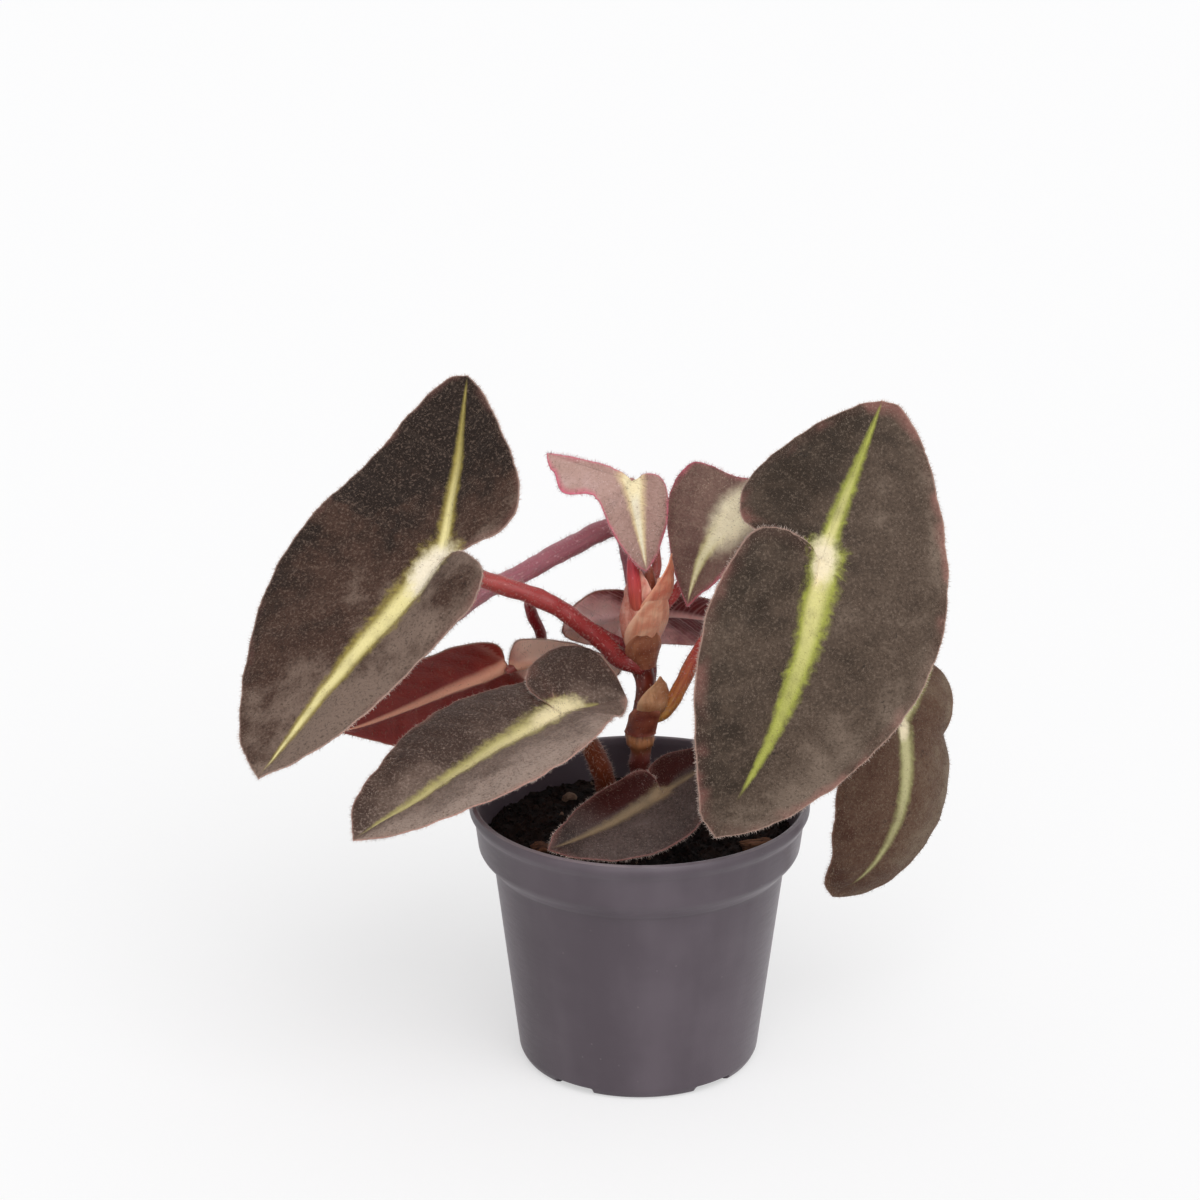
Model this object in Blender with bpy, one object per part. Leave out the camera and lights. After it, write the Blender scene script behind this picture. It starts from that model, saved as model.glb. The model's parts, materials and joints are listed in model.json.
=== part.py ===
"""A small striped begonia in its plastic nursery pot.

The origin is the middle of the pot's underside, +Z is up, and the front of the plant faces -Y. Each piece
is one closed solid. The sizes and places below are millimetres and degrees, and the meshes are in metres.
"""

import math
from dataclasses import dataclass

import bmesh
import bpy
import numpy as np
from mathutils import Vector
from mathutils.bvhtree import BVHTree

MM = 0.001
GAP = 0.3  # clearance between pieces that touch on the real plant
TRIM_GAP = 0.45  # the same at the ends of a petiole, whose rings shift a little when they are spaced out

# Pot: a thin moulded shell with a rim band, a flared lip and a foot cut by drain recesses.
POT_HEIGHT = 48.0
POT_SEGMENTS = 60
LIP_RADIUS = 30.0
FOOT_RADIUS = 21.0
FLOOR_THICKNESS = 1.9
FOOT_COUNT = 5
RECESS_ANGLE = 20.0
RECESS_HEIGHT = 1.1
RECESS_INNER_RADIUS = 12.0
FIRST_RECESS = -51.0
DRAIN_HOLE_RADIUS = 2.2
DRAIN_HOLE_PLACE = 17.0
SMALL_HOLE_SIDES = 12
CUTTER_MARGIN = 5.0  # how far a cutter reaches past what it cuts
POT_OUTSIDE = [
    (19.4, 0.0), (20.4, 0.4), (FOOT_RADIUS, 1.6), (25.2, 31.6), (25.8, 33.6), (27.2, 36.4), (28.0, 37.8),
    (28.3, 39.0), (29.1, 44.2), (29.6, 45.2), (LIP_RADIUS, 46.2), (LIP_RADIUS, 47.0),
]
POT_INSIDE = [
    (29.7, 47.7), (29.2, POT_HEIGHT), (28.7, 47.7), (28.4, 46.8), (27.4, 39.2), (27.1, 38.2), (26.3, 36.8),
    (24.9, 33.9), (24.3, 31.7), (20.2, 3.0), (19.2, FLOOR_THICKNESS),
]

# Soil: a plug that fills the pot to a few millimetres below the rim.
SOIL_LEVEL = 41.0
SOIL_TOP_RADIUS = 27.2
SOIL_RINGS = 7
SOIL_SEGMENTS = 36
SOIL_WALL_GAP = 0.4  # on the radius, so that the flat sides of both stay a gap apart
SOIL_FOOT = FLOOR_THICKNESS + GAP
SOIL_SIDE = [(radius - SOIL_WALL_GAP, max(height, SOIL_FOOT)) for radius, height in POT_INSIDE[5:]]
MOUND_HEIGHT = 0.9
POCKET_GAP = 0.45  # round the foot of a stem, which stands in a hole of its own in the soil
POCKET_LEAN = 0.6  # more room for a petiole that leans
POCKET_DEPTH_GAP = 0.6

# Leaves
LEAF_THICKNESS = 0.8
BACK_ROWS = 6
FRONT_ROWS = 10
OUTER_COLUMNS = 4
INNER_COLUMNS = 3
ROW_CROWDING = 1.15  # over 1 sets the rows closer together near the junction
TURN_START = 50.0  # the bearing, from the tip, at which the margin starts to swing with the large lobe
TURN_SPAN = 120.0
EAR_SHARE = 0.45  # the share of the reach along which the small lobe's extra rise fades out

# The outline of every leaf, as (along, across) fractions of its own lengths and widths. Along is +1 at the
# tip, 0 at the vein junction and -1 at the end of the large basal lobe.
OUTER_MARGIN = [
    (-1, 0), (-0.98, 0.20), (-0.76, 0.55), (-0.28, 0.87), (0.10, 1), (0.40, 0.93), (0.64, 0.72),
    (0.81, 0.45), (0.93, 0.18), (1, 0),
]
SMALL_LOBE_MARGIN = [
    (0, 0), (0, -0.10), (-0.045, -0.28), (-0.055, -0.55), (0, -0.82), (0.12, -0.97), (0.30, -1),
    (0.53, -0.86), (0.73, -0.58), (0.90, -0.24), (1, 0),
]
LARGE_LOBE_MARGIN = [
    (-1, 0), (-0.92, -0.27), (-0.75, -0.62), (-0.50, -0.93), (-0.29, -1), (-0.13, -0.82), (-0.06, -0.45),
    (0, 0),
]

# Colours, as linear RGB
POT_GREY = (0.085, 0.078, 0.088)
SOIL_BROWN = (0.012, 0.009, 0.007)
LEAF_BRONZE = (0.052, 0.040, 0.030)
YOUNG_PINK = (0.25, 0.13, 0.12)
PETIOLE_RED = (0.30, 0.022, 0.025)
PETIOLE_MAROON = (0.14, 0.022, 0.035)
STEM_BROWN = (0.22, 0.055, 0.030)
STIPULE_TAN = (0.42, 0.17, 0.11)
BARK_TAN = (0.17, 0.075, 0.035)
PERLITE_WHITE = (0.62, 0.60, 0.56)


@dataclass
class Leaf:
    """One lopsided begonia blade. side is +1 where its broad half lies to the left of the way to its tip."""

    place: tuple  # the vein junction, where the petiole meets the blade
    heading: float  # the way to the tip, seen from above, counted from +X
    dip: float
    roll: float
    side: int
    reach: float  # junction to tip
    lobe: float  # junction to the end of the large basal lobe
    outer: float  # width of the broad half
    inner: float  # width of the narrow half, with the small basal lobe
    back: float  # width of the large lobe's inner half
    turn: float = 10.0  # swings the large lobe towards the broad side
    shoulder: float = 1.0
    sweep: float = 0.0  # sideways curve of the midrib at the tip
    droop: float = 0.0
    back_droop: float = 0.0
    twist: float = 0.0
    back_twist: float = 0.0
    fold: float = 10.0  # each half rises from the midrib at its fold and bends back by its curl
    curl: float = 20.0
    in_fold: float = 12.0
    in_curl: float = 25.0
    back_fold: float = 5.0
    back_curl: float = 15.0
    ear: float = 20.0  # extra rise of the small lobe, which lies over the large one, or under it if negative
    overlap: float = 0.0  # how far the two lobes reach across each other beside the junction
    colour: tuple = LEAF_BRONZE


LEAVES = {
    "leaf_right_large": Leaf(
        place=(30, -20, 100), heading=-107, dip=49, roll=-24, side=1, reach=51, lobe=30, outer=24, inner=17,
        back=19, turn=9, sweep=-5, droop=51, back_droop=-5, twist=-6, back_twist=9, fold=7, curl=30,
        in_fold=17, in_curl=24, back_fold=-10, back_curl=36, ear=28, overlap=1,
    ),
    "leaf_left_large": Leaf(
        place=(-34, -5, 94.5), heading=-137, dip=38, roll=-13, side=-1, reach=49, lobe=36, outer=27, inner=17,
        back=14, turn=29, sweep=2, droop=0, back_droop=-19, twist=-15, back_twist=-3, fold=9, curl=7,
        in_fold=12, in_curl=17, back_fold=9, back_curl=7, ear=27,
    ),
    "leaf_front_left": Leaf(
        place=(-13.5, -13, 69.5), heading=-146, dip=15, roll=-11, side=1, reach=43, lobe=14, outer=20,
        inner=15, back=18, turn=20, droop=8, back_droop=9, twist=-9, back_twist=-12, fold=29, curl=10,
        in_fold=13, in_curl=31, back_fold=16, back_curl=42, ear=-5,
    ),
    "leaf_back_left": Leaf(
        place=(-23.5, 14.5, 68), heading=-191, dip=28, roll=54, side=-1, reach=35, lobe=20, outer=18,
        inner=11, back=12, turn=24, sweep=-2, droop=1, back_droop=26, twist=-12, fold=9, curl=27,
        in_fold=8, in_curl=25, back_fold=-1, back_curl=23, ear=2,
    ),
    "leaf_front_low": Leaf(
        place=(4, -12, 54.5), heading=-144, dip=19, roll=-15, side=1, reach=23, lobe=15, outer=11, inner=7,
        back=8, turn=1, sweep=-3, back_droop=3, twist=-20, back_twist=-2, fold=14, curl=20, in_fold=12,
        in_curl=24, back_fold=2, back_curl=20, ear=18,
    ),
    "leaf_right_hanging": Leaf(
        place=(46, 3, 61.5), heading=-78, dip=57, roll=-21, side=1, reach=37, lobe=17, outer=15, inner=12,
        back=11, turn=43, sweep=-5, droop=71, back_droop=23, twist=16, back_twist=-13, fold=2, curl=50,
        in_fold=6, in_curl=30, ear=19,
    ),
    "leaf_top_centre": Leaf(
        place=(-1.5, 0, 107), heading=-60, dip=73, roll=9, side=-1, reach=16, lobe=18, outer=10.5, inner=7,
        back=4, turn=72, shoulder=1.1, sweep=-1, droop=11, back_droop=10, twist=15, back_twist=12, fold=20,
        curl=8, in_fold=4, in_curl=30, ear=0, colour=YOUNG_PINK,
    ),
    "leaf_top_right": Leaf(
        place=(18, 3, 100.5), heading=-171, dip=34, roll=-53, side=-1, reach=18, lobe=6, outer=15, inner=6,
        back=7, turn=49, sweep=-7, droop=28, back_droop=15, twist=-6, fold=9, curl=20, in_fold=15, in_curl=19,
        colour=YOUNG_PINK,
    ),
    "leaf_back": Leaf(
        place=(1.5, 13.5, 78.5), heading=-3, dip=-3, roll=-53, side=1, reach=25, lobe=16, outer=13, inner=8,
        back=9, turn=9, shoulder=1.1, sweep=1, droop=29, back_droop=10, back_twist=-12, fold=15, curl=17,
        in_fold=8, in_curl=34, back_curl=19, ear=10,
    ),
    "leaf_left_behind": Leaf(
        place=(-41, 22, 72), heading=155, dip=30, roll=0, side=-1, reach=24, lobe=10, outer=11, inner=8,
        back=7, turn=12, droop=20, back_droop=10, fold=12, curl=25,
    ),
}

# Main stem: (x, y, z, radius) along its middle, from its foot in the soil to its growing tip
STEM = [
    (0.0, 3.0, 37.5, 1.7), (0.1, 3.0, 50.0, 1.7), (0.1, 3.0, 56.5, 1.6), (0.1, 3.0, 58.5, 2.3),
    (0.4, 3.0, 60.5, 1.7), (1.6, 3.0, 65.5, 2.3), (1.0, 3.0, 68.5, 1.6), (0.4, 3.0, 73.0, 1.7),
    (0.2, 2.8, 78.0, 2.0), (0.8, 2.5, 84.0, 1.7), (1.4, 2.2, 88.5, 1.1), (1.6, 2.0, 90.5, 0.6),
]
STEM_SIDES = 10
STEM_STATIONS = 26

# Petioles: leaf name, the colour, the radius at each end, and the points of the middle line. The first point
# is inside the stem or the soil, and the last stretch rises to the leaf's vein junction.
PETIOLES = {
    "petiole_right_large": (
        "leaf_right_large", PETIOLE_RED, (1.3, 1.2),
        [(1.2, 3.0, 62.5), (5.3, 2.6, 65.0), (10.4, 0.0, 76.3), (19.0, -4.5, 90.0), (26.5, -11.0, 97.0)],
    ),
    "petiole_left_large": (
        "leaf_left_large", PETIOLE_RED, (1.4, 1.2),
        [(0.3, 2.8, 72.6), (-3.7, 1.8, 74.0), (-7.2, 1.0, 78.0), (-15.6, 0.0, 84.8), (-27.0, -1.0, 89.5)],
    ),
    "petiole_front_left": (
        "leaf_front_left", STEM_BROWN, (2.0, 1.7),
        [(-4.6, -1.6, 38.5), (-4.7, -1.7, 43.5), (-6.2, -3.6, 54.0), (-9.5, -6.5, 62.5)],
    ),
    "petiole_back_left": (
        "leaf_back_left", PETIOLE_RED, (1.0, 0.8),
        [(0.3, 2.8, 75.0), (-3.5, 5.5, 75.4), (-8.0, 7.5, 77.2), (-13.5, 9.0, 80.6), (-18.4, 10.0, 82.6),
         (-20.4, 11.0, 80.8), (-18.6, 12.4, 76.6), (-17.0, 15.0, 72.6), (-18.4, 17.0, 69.4)],
    ),
    "petiole_front_low": (
        "leaf_front_low", STEM_BROWN, (1.2, 0.9),
        [(1.5, -2.0, 38.5), (2.0, -3.0, 43.0), (3.0, -6.5, 48.0)],
    ),
    "petiole_right_hanging": (
        "leaf_right_hanging", PETIOLE_MAROON, (1.3, 1.0),
        [(0.1, 3.0, 47.0), (6.0, 6.5, 47.8), (16.0, 10.0, 51.5), (27.0, 12.0, 58.0), (38.0, 10.5, 64.0),
         (43.5, 7.0, 64.5)],
    ),
    "petiole_top_centre": (
        "leaf_top_centre", PETIOLE_RED, (0.9, 0.7),
        [(1.2, 2.3, 86.5), (2.8, 5.2, 90.0), (1.5, 6.2, 97.0), (-1.2, 4.0, 104.5)],
    ),
    "petiole_top_right": (
        "leaf_top_right", PETIOLE_RED, (1.0, 0.8),
        [(0.4, 2.8, 80.0), (4.5, 3.2, 83.5), (8.5, 6.0, 88.5), (14.0, 8.0, 95.5)],
    ),
    "petiole_back": (
        "leaf_back", PETIOLE_MAROON, (1.2, 1.0),
        [(1.6, 3.0, 65.5), (1.8, 6.5, 68.0), (1.7, 9.8, 74.0)],
    ),
    "petiole_left_behind": (
        "leaf_left_behind", PETIOLE_MAROON, (1.6, 1.3),
        [(0.6, 2.6, 81.5), (-0.6, 6.0, 86.0), (-3.5, 9.0, 95.5), (-12.3, 11.5, 91.2), (-21.1, 14.0, 85.2),
         (-28.2, 16.5, 80.8), (-36.0, 19.5, 73.5)],
    ),
}
PETIOLE_SIDES = 8
PETIOLE_STATIONS = 14
FINE_STATIONS = 400
CLEAR_STATIONS = 12  # how many stations in a row have to be clear before a petiole starts

# Stipules: papery bracts around the stem. (height of the base, azimuth, length, half angle at the base,
# extra distance from the stem, outward lean, width at the tip as a fraction of the base)
STIPULES = {
    "stipule_low_node": (60.8, -100, 4.0, 85, 0.1, 4, 0.60),
    "stipule_right_node": (66.8, -60, 5.4, 60, 0.1, 8, 0.20),
    "stipule_middle": (72.0, -66, 7.0, 62, 0.2, 8, 0.15),
    "stipule_upper_front": (79.4, -72, 6.9, 72, 0.7, 2, 0.35),
    "stipule_upper_left": (80.5, 172, 8.4, 36, 0.6, 6, 0.20),
    "stipule_tip_right": (87.0, -28, 7.0, 58, 0.9, 14, 0.04),
    "stipule_tip_left": (89.4, -115, 4.6, 70, 0.9, 6, 0.10),
}
STIPULE_THICKNESS = 0.5
STIPULE_GAP = 0.45
STIPULE_ROWS = 6
STIPULE_COLUMNS = 6

# Growing tip: a young rolled leaf, still shut, beside the end of the stem
BUD = [(-1.9, 0.6, 88.5, 0.5), (-2.0, 0.5, 91.0, 0.9), (-1.9, 0.6, 93.5, 0.75), (-1.7, 0.9, 95.8, 0.2)]

# Chips that lie on the soil: (x, y, length, width, thickness, turn, colour)
CHIP_ROUGHNESS = 0.11
CHIP_SQUARENESS = 0.75  # 1 leaves a chip oval, and less makes it boxier
CHIPS = {
    "bark_chip_right": (20.5, -6.0, 5.6, 3.4, 1.6, 20, BARK_TAN),
    "bark_chip_left": (-17.0, -8.0, 4.4, 2.8, 1.4, 110, BARK_TAN),
    "bark_chip_back": (8.0, 18.5, 5.0, 3.0, 1.5, 65, BARK_TAN),
    "perlite_grain": (-12.5, 15.0, 2.4, 2.0, 1.6, 0, PERLITE_WHITE),
}


# ---------------------------------------------------------------------------------------------- helpers


def clear_scene():
    for obj in list(bpy.data.objects):
        bpy.data.objects.remove(obj, do_unlink=True)


def finish_piece(name, points, faces, colour, roughness=0.6, smooth=45):
    """One object from millimetre points, with its faces turned outward and its own material."""
    mesh = bpy.data.meshes.new(name)
    mesh.from_pydata([Vector(point) * MM for point in points], [], faces)
    shape = bmesh.new()
    shape.from_mesh(mesh)
    bmesh.ops.recalc_face_normals(shape, faces=shape.faces)
    if shape.calc_volume(signed=True) < 0:
        bmesh.ops.reverse_faces(shape, faces=shape.faces)
    shape.to_mesh(mesh)
    shape.free()
    mesh.shade_smooth()
    mesh.set_sharp_from_angle(angle=math.radians(smooth))
    obj = bpy.data.objects.new(name, mesh)
    bpy.context.scene.collection.objects.link(obj)
    material = bpy.data.materials.new(name)
    material.use_nodes = True
    shader = material.node_tree.nodes["Principled BSDF"]
    shader.inputs["Base Color"].default_value = (*colour, 1)
    shader.inputs["Roughness"].default_value = roughness
    shader.inputs["Metallic"].default_value = 0
    mesh.materials.append(material)
    return obj


def ease(value):
    value = np.clip(value, 0, 1)
    return value * value * (3 - 2 * value)


def curve_through(points, count):
    """count points, evenly spaced along a smooth curve through the given points."""
    points = np.array(points, float)
    padded = np.vstack([2 * points[0] - points[1], points, 2 * points[-1] - points[-2]])
    steps = np.linspace(0, 1, 12, endpoint=False)[:, None]
    fine = []
    for before, start, end, after in zip(padded, padded[1:], padded[2:], padded[3:]):
        linear = (end - before) * steps
        square = (2 * before - 5 * start + 4 * end - after) * steps**2
        cube = (3 * start - before - 3 * end + after) * steps**3
        fine.append(start + 0.5 * (linear + square + cube))
    fine = np.vstack(fine + [points[-1:]])
    lengths = np.r_[0, np.cumsum(np.linalg.norm(np.diff(fine[:, :3], axis=0), axis=1))]
    places = np.linspace(0, lengths[-1], count)
    return np.stack([np.interp(places, lengths, column) for column in fine.T], axis=1)


def surface_tree(obj):
    """A search tree of the object's surface, in metres."""
    mesh = obj.data
    return BVHTree.FromPolygons([v.co for v in mesh.vertices], [p.vertices for p in mesh.polygons])


def is_clear(points, tree, thick):
    """True if each point is TRIM_GAP or more from the surface, and outside it where the body is thick."""
    for point in points:
        point = Vector(point) * MM
        place, normal, _, distance = tree.find_nearest(point)
        if distance < TRIM_GAP * MM or (thick and (point - place).dot(normal) < 0):
            return False
    return True


# --------------------------------------------------------------------------------------------------- pot


def lathe(name, profile, segments, colour, roughness, smooth=35):
    """Turns a profile of (radius, height) about Z, from the middle of the base round to the middle again."""
    points = [(0, 0, profile[0][1])]
    angles = np.linspace(0, 2 * math.pi, segments, endpoint=False)
    for radius, height in profile:
        points += [(radius * math.cos(a), radius * math.sin(a), height) for a in angles]
    points.append((0, 0, profile[-1][1]))
    faces = []
    for i in range(segments):
        j = (i + 1) % segments
        faces.append((0, 1 + j, 1 + i))
        for ring in range(len(profile) - 1):
            low = 1 + ring * segments
            high = low + segments
            faces.append((low + i, low + j, high + j, high + i))
        last = 1 + (len(profile) - 1) * segments
        faces.append((last + i, last + j, len(points) - 1))
    return finish_piece(name, points, faces, colour, roughness, smooth)


def cutter(name, outline, low, high):
    """An upright prism that cuts the pot and isn't part of it."""
    count = len(outline)
    points = [(x, y, low) for x, y in outline] + [(x, y, high) for x, y in outline]
    faces = [tuple(range(count)), tuple(range(count, 2 * count))]
    faces += [(i, (i + 1) % count, (i + 1) % count + count, i + count) for i in range(count)]
    obj = finish_piece(name, points, faces, POT_GREY)
    obj.hide_render = True
    obj.display_type = "WIRE"
    return obj


def cut(obj, tool):
    modifier = obj.modifiers.new(tool.name, "BOOLEAN")
    modifier.operation = "DIFFERENCE"
    modifier.solver = "EXACT"
    modifier.object = tool


def circle(x, y, radius, count):
    angles = np.linspace(0, 2 * math.pi, count, endpoint=False)
    return [(x + radius * math.cos(a), y + radius * math.sin(a)) for a in angles]


def wedge(middle, width, inner, outer):
    """The outline of a sector of a ring, with its angles in degrees."""
    angles = np.radians(np.linspace(middle - width / 2, middle + width / 2, 4))
    far = [(outer * math.cos(a), outer * math.sin(a)) for a in angles]
    near = [(inner * math.cos(a), inner * math.sin(a)) for a in angles[::-1]]
    return far + near


def make_pot():
    pot = lathe("pot", POT_OUTSIDE + POT_INSIDE, POT_SEGMENTS, POT_GREY, 0.45)
    for i in range(FOOT_COUNT):
        middle = FIRST_RECESS + i * 360 / FOOT_COUNT
        outline = wedge(middle, RECESS_ANGLE, RECESS_INNER_RADIUS, LIP_RADIUS)
        cut(pot, cutter(f"recess_cutter_{i}", outline, -CUTTER_MARGIN, RECESS_HEIGHT))
        x = DRAIN_HOLE_PLACE * math.cos(math.radians(middle))
        y = DRAIN_HOLE_PLACE * math.sin(math.radians(middle))
        hole = circle(x, y, DRAIN_HOLE_RADIUS, SMALL_HOLE_SIDES)
        cut(pot, cutter(f"drain_cutter_{i}", hole, 0.5 * RECESS_HEIGHT, FLOOR_THICKNESS + 1))


# -------------------------------------------------------------------------------------------------- soil


def soil_height(x, y):
    """A low mound with shallow waves, level at the pot's wall."""
    fall = 1 - (x * x + y * y) / SOIL_TOP_RADIUS**2
    waves = 0.35 * math.sin(0.55 * x + 1.1) * math.cos(0.48 * y - 0.4) + 0.2 * math.sin(0.9 * y + 0.6 * x)
    return SOIL_LEVEL + fall * (MOUND_HEIGHT + waves)


def make_soil():
    points = [(0, 0, soil_height(0, 0))]
    angles = np.linspace(0, 2 * math.pi, SOIL_SEGMENTS, endpoint=False)
    for ring in range(1, SOIL_RINGS + 1):
        radius = SOIL_TOP_RADIUS * ring / SOIL_RINGS
        for a in angles:
            x, y = radius * math.cos(a), radius * math.sin(a)
            points.append((x, y, soil_height(x, y)))
    for radius, height in SOIL_SIDE:
        points += [(radius * math.cos(a), radius * math.sin(a), height) for a in angles]
    points.append((0, 0, SOIL_SIDE[-1][1]))
    faces = []
    for i in range(SOIL_SEGMENTS):
        j = (i + 1) % SOIL_SEGMENTS
        faces.append((0, 1 + i, 1 + j))
        for ring in range(SOIL_RINGS + len(SOIL_SIDE) - 1):
            low = 1 + ring * SOIL_SEGMENTS
            high = low + SOIL_SEGMENTS
            faces.append((low + i, high + i, high + j, low + j))
        last = 1 + (SOIL_RINGS + len(SOIL_SIDE) - 1) * SOIL_SEGMENTS
        faces.append((last + i, len(points) - 1, last + j))
    return finish_piece("soil", points, faces, SOIL_BROWN, 0.95)


def make_pocket(soil, name, foot, radius):
    """A hole in the soil for the foot of a stem, a gap wider and deeper than the foot."""
    x, y, height = foot
    outline = circle(x, y, radius + POCKET_GAP, SMALL_HOLE_SIDES)
    cut(soil, cutter(name, outline, height - POCKET_DEPTH_GAP, SOIL_LEVEL + CUTTER_MARGIN))


# ------------------------------------------------------------------------------------------------ leaves


def leaf_stations(leaf, back_rows, front_rows):
    """Distances along the midrib from the end of the large lobe, past the junction, to the tip."""
    back = np.linspace(-leaf.lobe, 0, back_rows + 1)
    front = leaf.reach * np.linspace(0, 1, front_rows + 1) ** ROW_CROWDING
    return np.r_[back, front[1:]]


def turned(points, degrees):
    """Flat points swung about the junction, towards the broad side."""
    angle = np.radians(degrees)
    x, y = points.T
    return np.stack([x * np.cos(angle) + y * np.sin(angle), y * np.cos(angle) - x * np.sin(angle)], axis=1)


def swept(leaf, points):
    points = points.copy()
    points[:, 1] += leaf.sweep * (np.clip(points[:, 0], 0, None) / leaf.reach) ** 2
    return points


def flat_midrib(leaf, stations):
    straight = np.stack([stations, 0 * stations], axis=1)
    lobe = turned(straight, leaf.turn)
    return swept(leaf, np.where(stations[:, None] < 0, lobe, straight))


def reach_across(outline):
    """How much each point of a lobe's margin takes part in the overlap beside the junction."""
    along, across = np.array(outline).T
    return ease(-across / 0.5) * ease(1 - np.abs(along) / 0.35)


def flat_margins(leaf, back_rows, front_rows):
    """The three margins of the flat blade: broad side, small lobe's side and the large lobe's inner side."""

    def scaled(outline, width):
        return np.array([(x * (leaf.reach if x >= 0 else leaf.lobe), y * width) for x, y in outline])

    outer = scaled(OUTER_MARGIN, leaf.outer)
    outer[:, 1] *= 1 + (leaf.shoulder - 1) * ease(-1.4 * outer[:, 0] / leaf.lobe)
    outer = curve_through(outer, back_rows + front_rows + 1)
    inner = scaled(SMALL_LOBE_MARGIN, leaf.inner)
    inner[:, 0] -= 0.5 * leaf.overlap * reach_across(SMALL_LOBE_MARGIN)
    inner = curve_through(inner, front_rows + 1)
    lobe = scaled(LARGE_LOBE_MARGIN, leaf.back)
    lobe[:, 0] += leaf.overlap * reach_across(LARGE_LOBE_MARGIN)
    lobe = curve_through(lobe, back_rows + 1)
    bearing = np.degrees(np.arctan2(outer[:, 1], outer[:, 0])) % 360
    outer = turned(outer, leaf.turn * ease((bearing - TURN_START) / TURN_SPAN))
    lobe = turned(lobe, leaf.turn)
    return swept(leaf, outer), swept(leaf, inner), swept(leaf, lobe)


def raised(leaf, midrib, margin, share, fold, curl_rate):
    """Points a share of the way from the midrib to the margin, lifted along an arc across the half."""
    across = margin - midrib
    width = np.linalg.norm(across, axis=1)
    away = width * share
    fold = np.radians(fold) * np.ones(len(away))
    rate = math.radians(curl_rate) or 1e-6
    flat = (np.sin(fold) - np.sin(fold - rate * away)) / rate
    height = (np.cos(fold - rate * away) - np.cos(fold)) / rate
    direction = across / np.maximum(width, 1e-9)[:, None]
    return np.column_stack([midrib + direction * flat[:, None], height])


def bent(leaf, points):
    """Twists the raised blade about its length, droops both its ends, and gives it its handedness."""
    x, y, z = points.T
    ahead = x >= 0
    twist = np.radians(np.where(ahead, leaf.twist * x / leaf.reach, -leaf.back_twist * x / leaf.lobe))
    y, z = y * np.cos(twist) - z * np.sin(twist), y * np.sin(twist) + z * np.cos(twist)
    rate = np.radians(np.where(ahead, leaf.droop / leaf.reach, leaf.back_droop / leaf.lobe))
    rate = np.where(np.abs(rate) < 1e-7, 1e-7, rate)
    angle = rate * np.abs(x)
    along = np.sign(x) * (1 / rate + z) * np.sin(angle)
    height = (1 / rate + z) * np.cos(angle) - 1 / rate
    return np.column_stack([along, y * leaf.side, height])


def turned_to_place(leaf, points):
    heading, dip, roll = np.radians([leaf.heading, leaf.dip, leaf.roll])
    about_z = np.array(
        [[np.cos(heading), -np.sin(heading), 0], [np.sin(heading), np.cos(heading), 0], [0, 0, 1]]
    )
    about_y = np.array([[np.cos(dip), 0, np.sin(dip)], [0, 1, 0], [-np.sin(dip), 0, np.cos(dip)]])
    about_x = np.array([[1, 0, 0], [0, np.cos(roll), -np.sin(roll)], [0, np.sin(roll), np.cos(roll)]])
    return points @ (about_z @ about_y @ about_x).T + np.array(leaf.place)


def leaf_sheet(leaf, back_rows=BACK_ROWS, front_rows=FRONT_ROWS):
    """The blade's upper surface: points, and faces that meet along the midrib. The sinus stays open."""
    stations = leaf_stations(leaf, back_rows, front_rows)
    midrib = flat_midrib(leaf, stations)
    outer, inner, lobe = flat_margins(leaf, back_rows, front_rows)
    junction = back_rows
    last = back_rows + front_rows
    ear = leaf.ear * (1 - ease(stations[junction:] / (EAR_SHARE * leaf.reach)))
    halves = [
        (outer, 0, last, OUTER_COLUMNS, leaf.fold, leaf.curl / leaf.outer),
        (inner, junction, last, INNER_COLUMNS, leaf.in_fold + ear, leaf.in_curl / leaf.inner),
        (lobe, 0, junction, INNER_COLUMNS, leaf.back_fold, leaf.back_curl / leaf.back),
    ]
    points = [np.column_stack([midrib, 0 * stations])]
    faces = []
    total = len(stations)
    for margin, start, end, columns, fold, curl_rate in halves:
        rows = end - start + 1
        index = np.zeros((rows, columns + 1), int)
        index[:, 0] = np.arange(start, end + 1)
        index[0] = start
        index[-1] = end
        base = midrib[start : end + 1]
        for column in range(1, columns + 1):
            lifted = raised(leaf, base, margin, column / columns, fold, curl_rate)
            points.append(lifted[1:-1])
            index[1:-1, column] = total + np.arange(rows - 2)
            total += rows - 2
        for row in range(rows - 1):
            for column in range(columns):
                corners = [index[row, column], index[row + 1, column]]
                corners += [index[row + 1, column + 1], index[row, column + 1]]
                corners = list(dict.fromkeys(int(corner) for corner in corners))
                faces.append(corners if margin is outer else corners[::-1])
    points = turned_to_place(leaf, bent(leaf, np.vstack(points)))
    if leaf.side > 0:
        faces = [face[::-1] for face in faces]
    return points, faces


def sheet_normals(points, faces):
    normals = np.zeros_like(points)
    for face in faces:
        spokes = points[face[1:]] - points[face[0]]
        normals[face] += np.cross(spokes[:-1], spokes[1:]).sum(axis=0)
    return normals / np.linalg.norm(normals, axis=1)[:, None]


def thickened(points, faces, thickness):
    """A closed solid: the sheet, a copy of it one thickness below, and a wall along its edge."""
    count = len(points)
    below = points - sheet_normals(points, faces) * thickness
    solid = [tuple(face) for face in faces]
    solid += [tuple(corner + count for corner in face[::-1]) for face in faces]
    edges = {(a, b) for face in faces for a, b in zip(face, face[1:] + face[:1])}
    solid += [(a, a + count, b + count, b) for a, b in edges if (b, a) not in edges]
    return np.vstack([points, below]), solid


def make_leaf(name, leaf):
    points, faces = leaf_sheet(leaf)
    solid_points, solid_faces = thickened(points, faces, LEAF_THICKNESS)
    return finish_piece(name, solid_points, solid_faces, leaf.colour, 0.7, 60)


# ------------------------------------------------------------------------------- stem, petioles and bud


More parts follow.
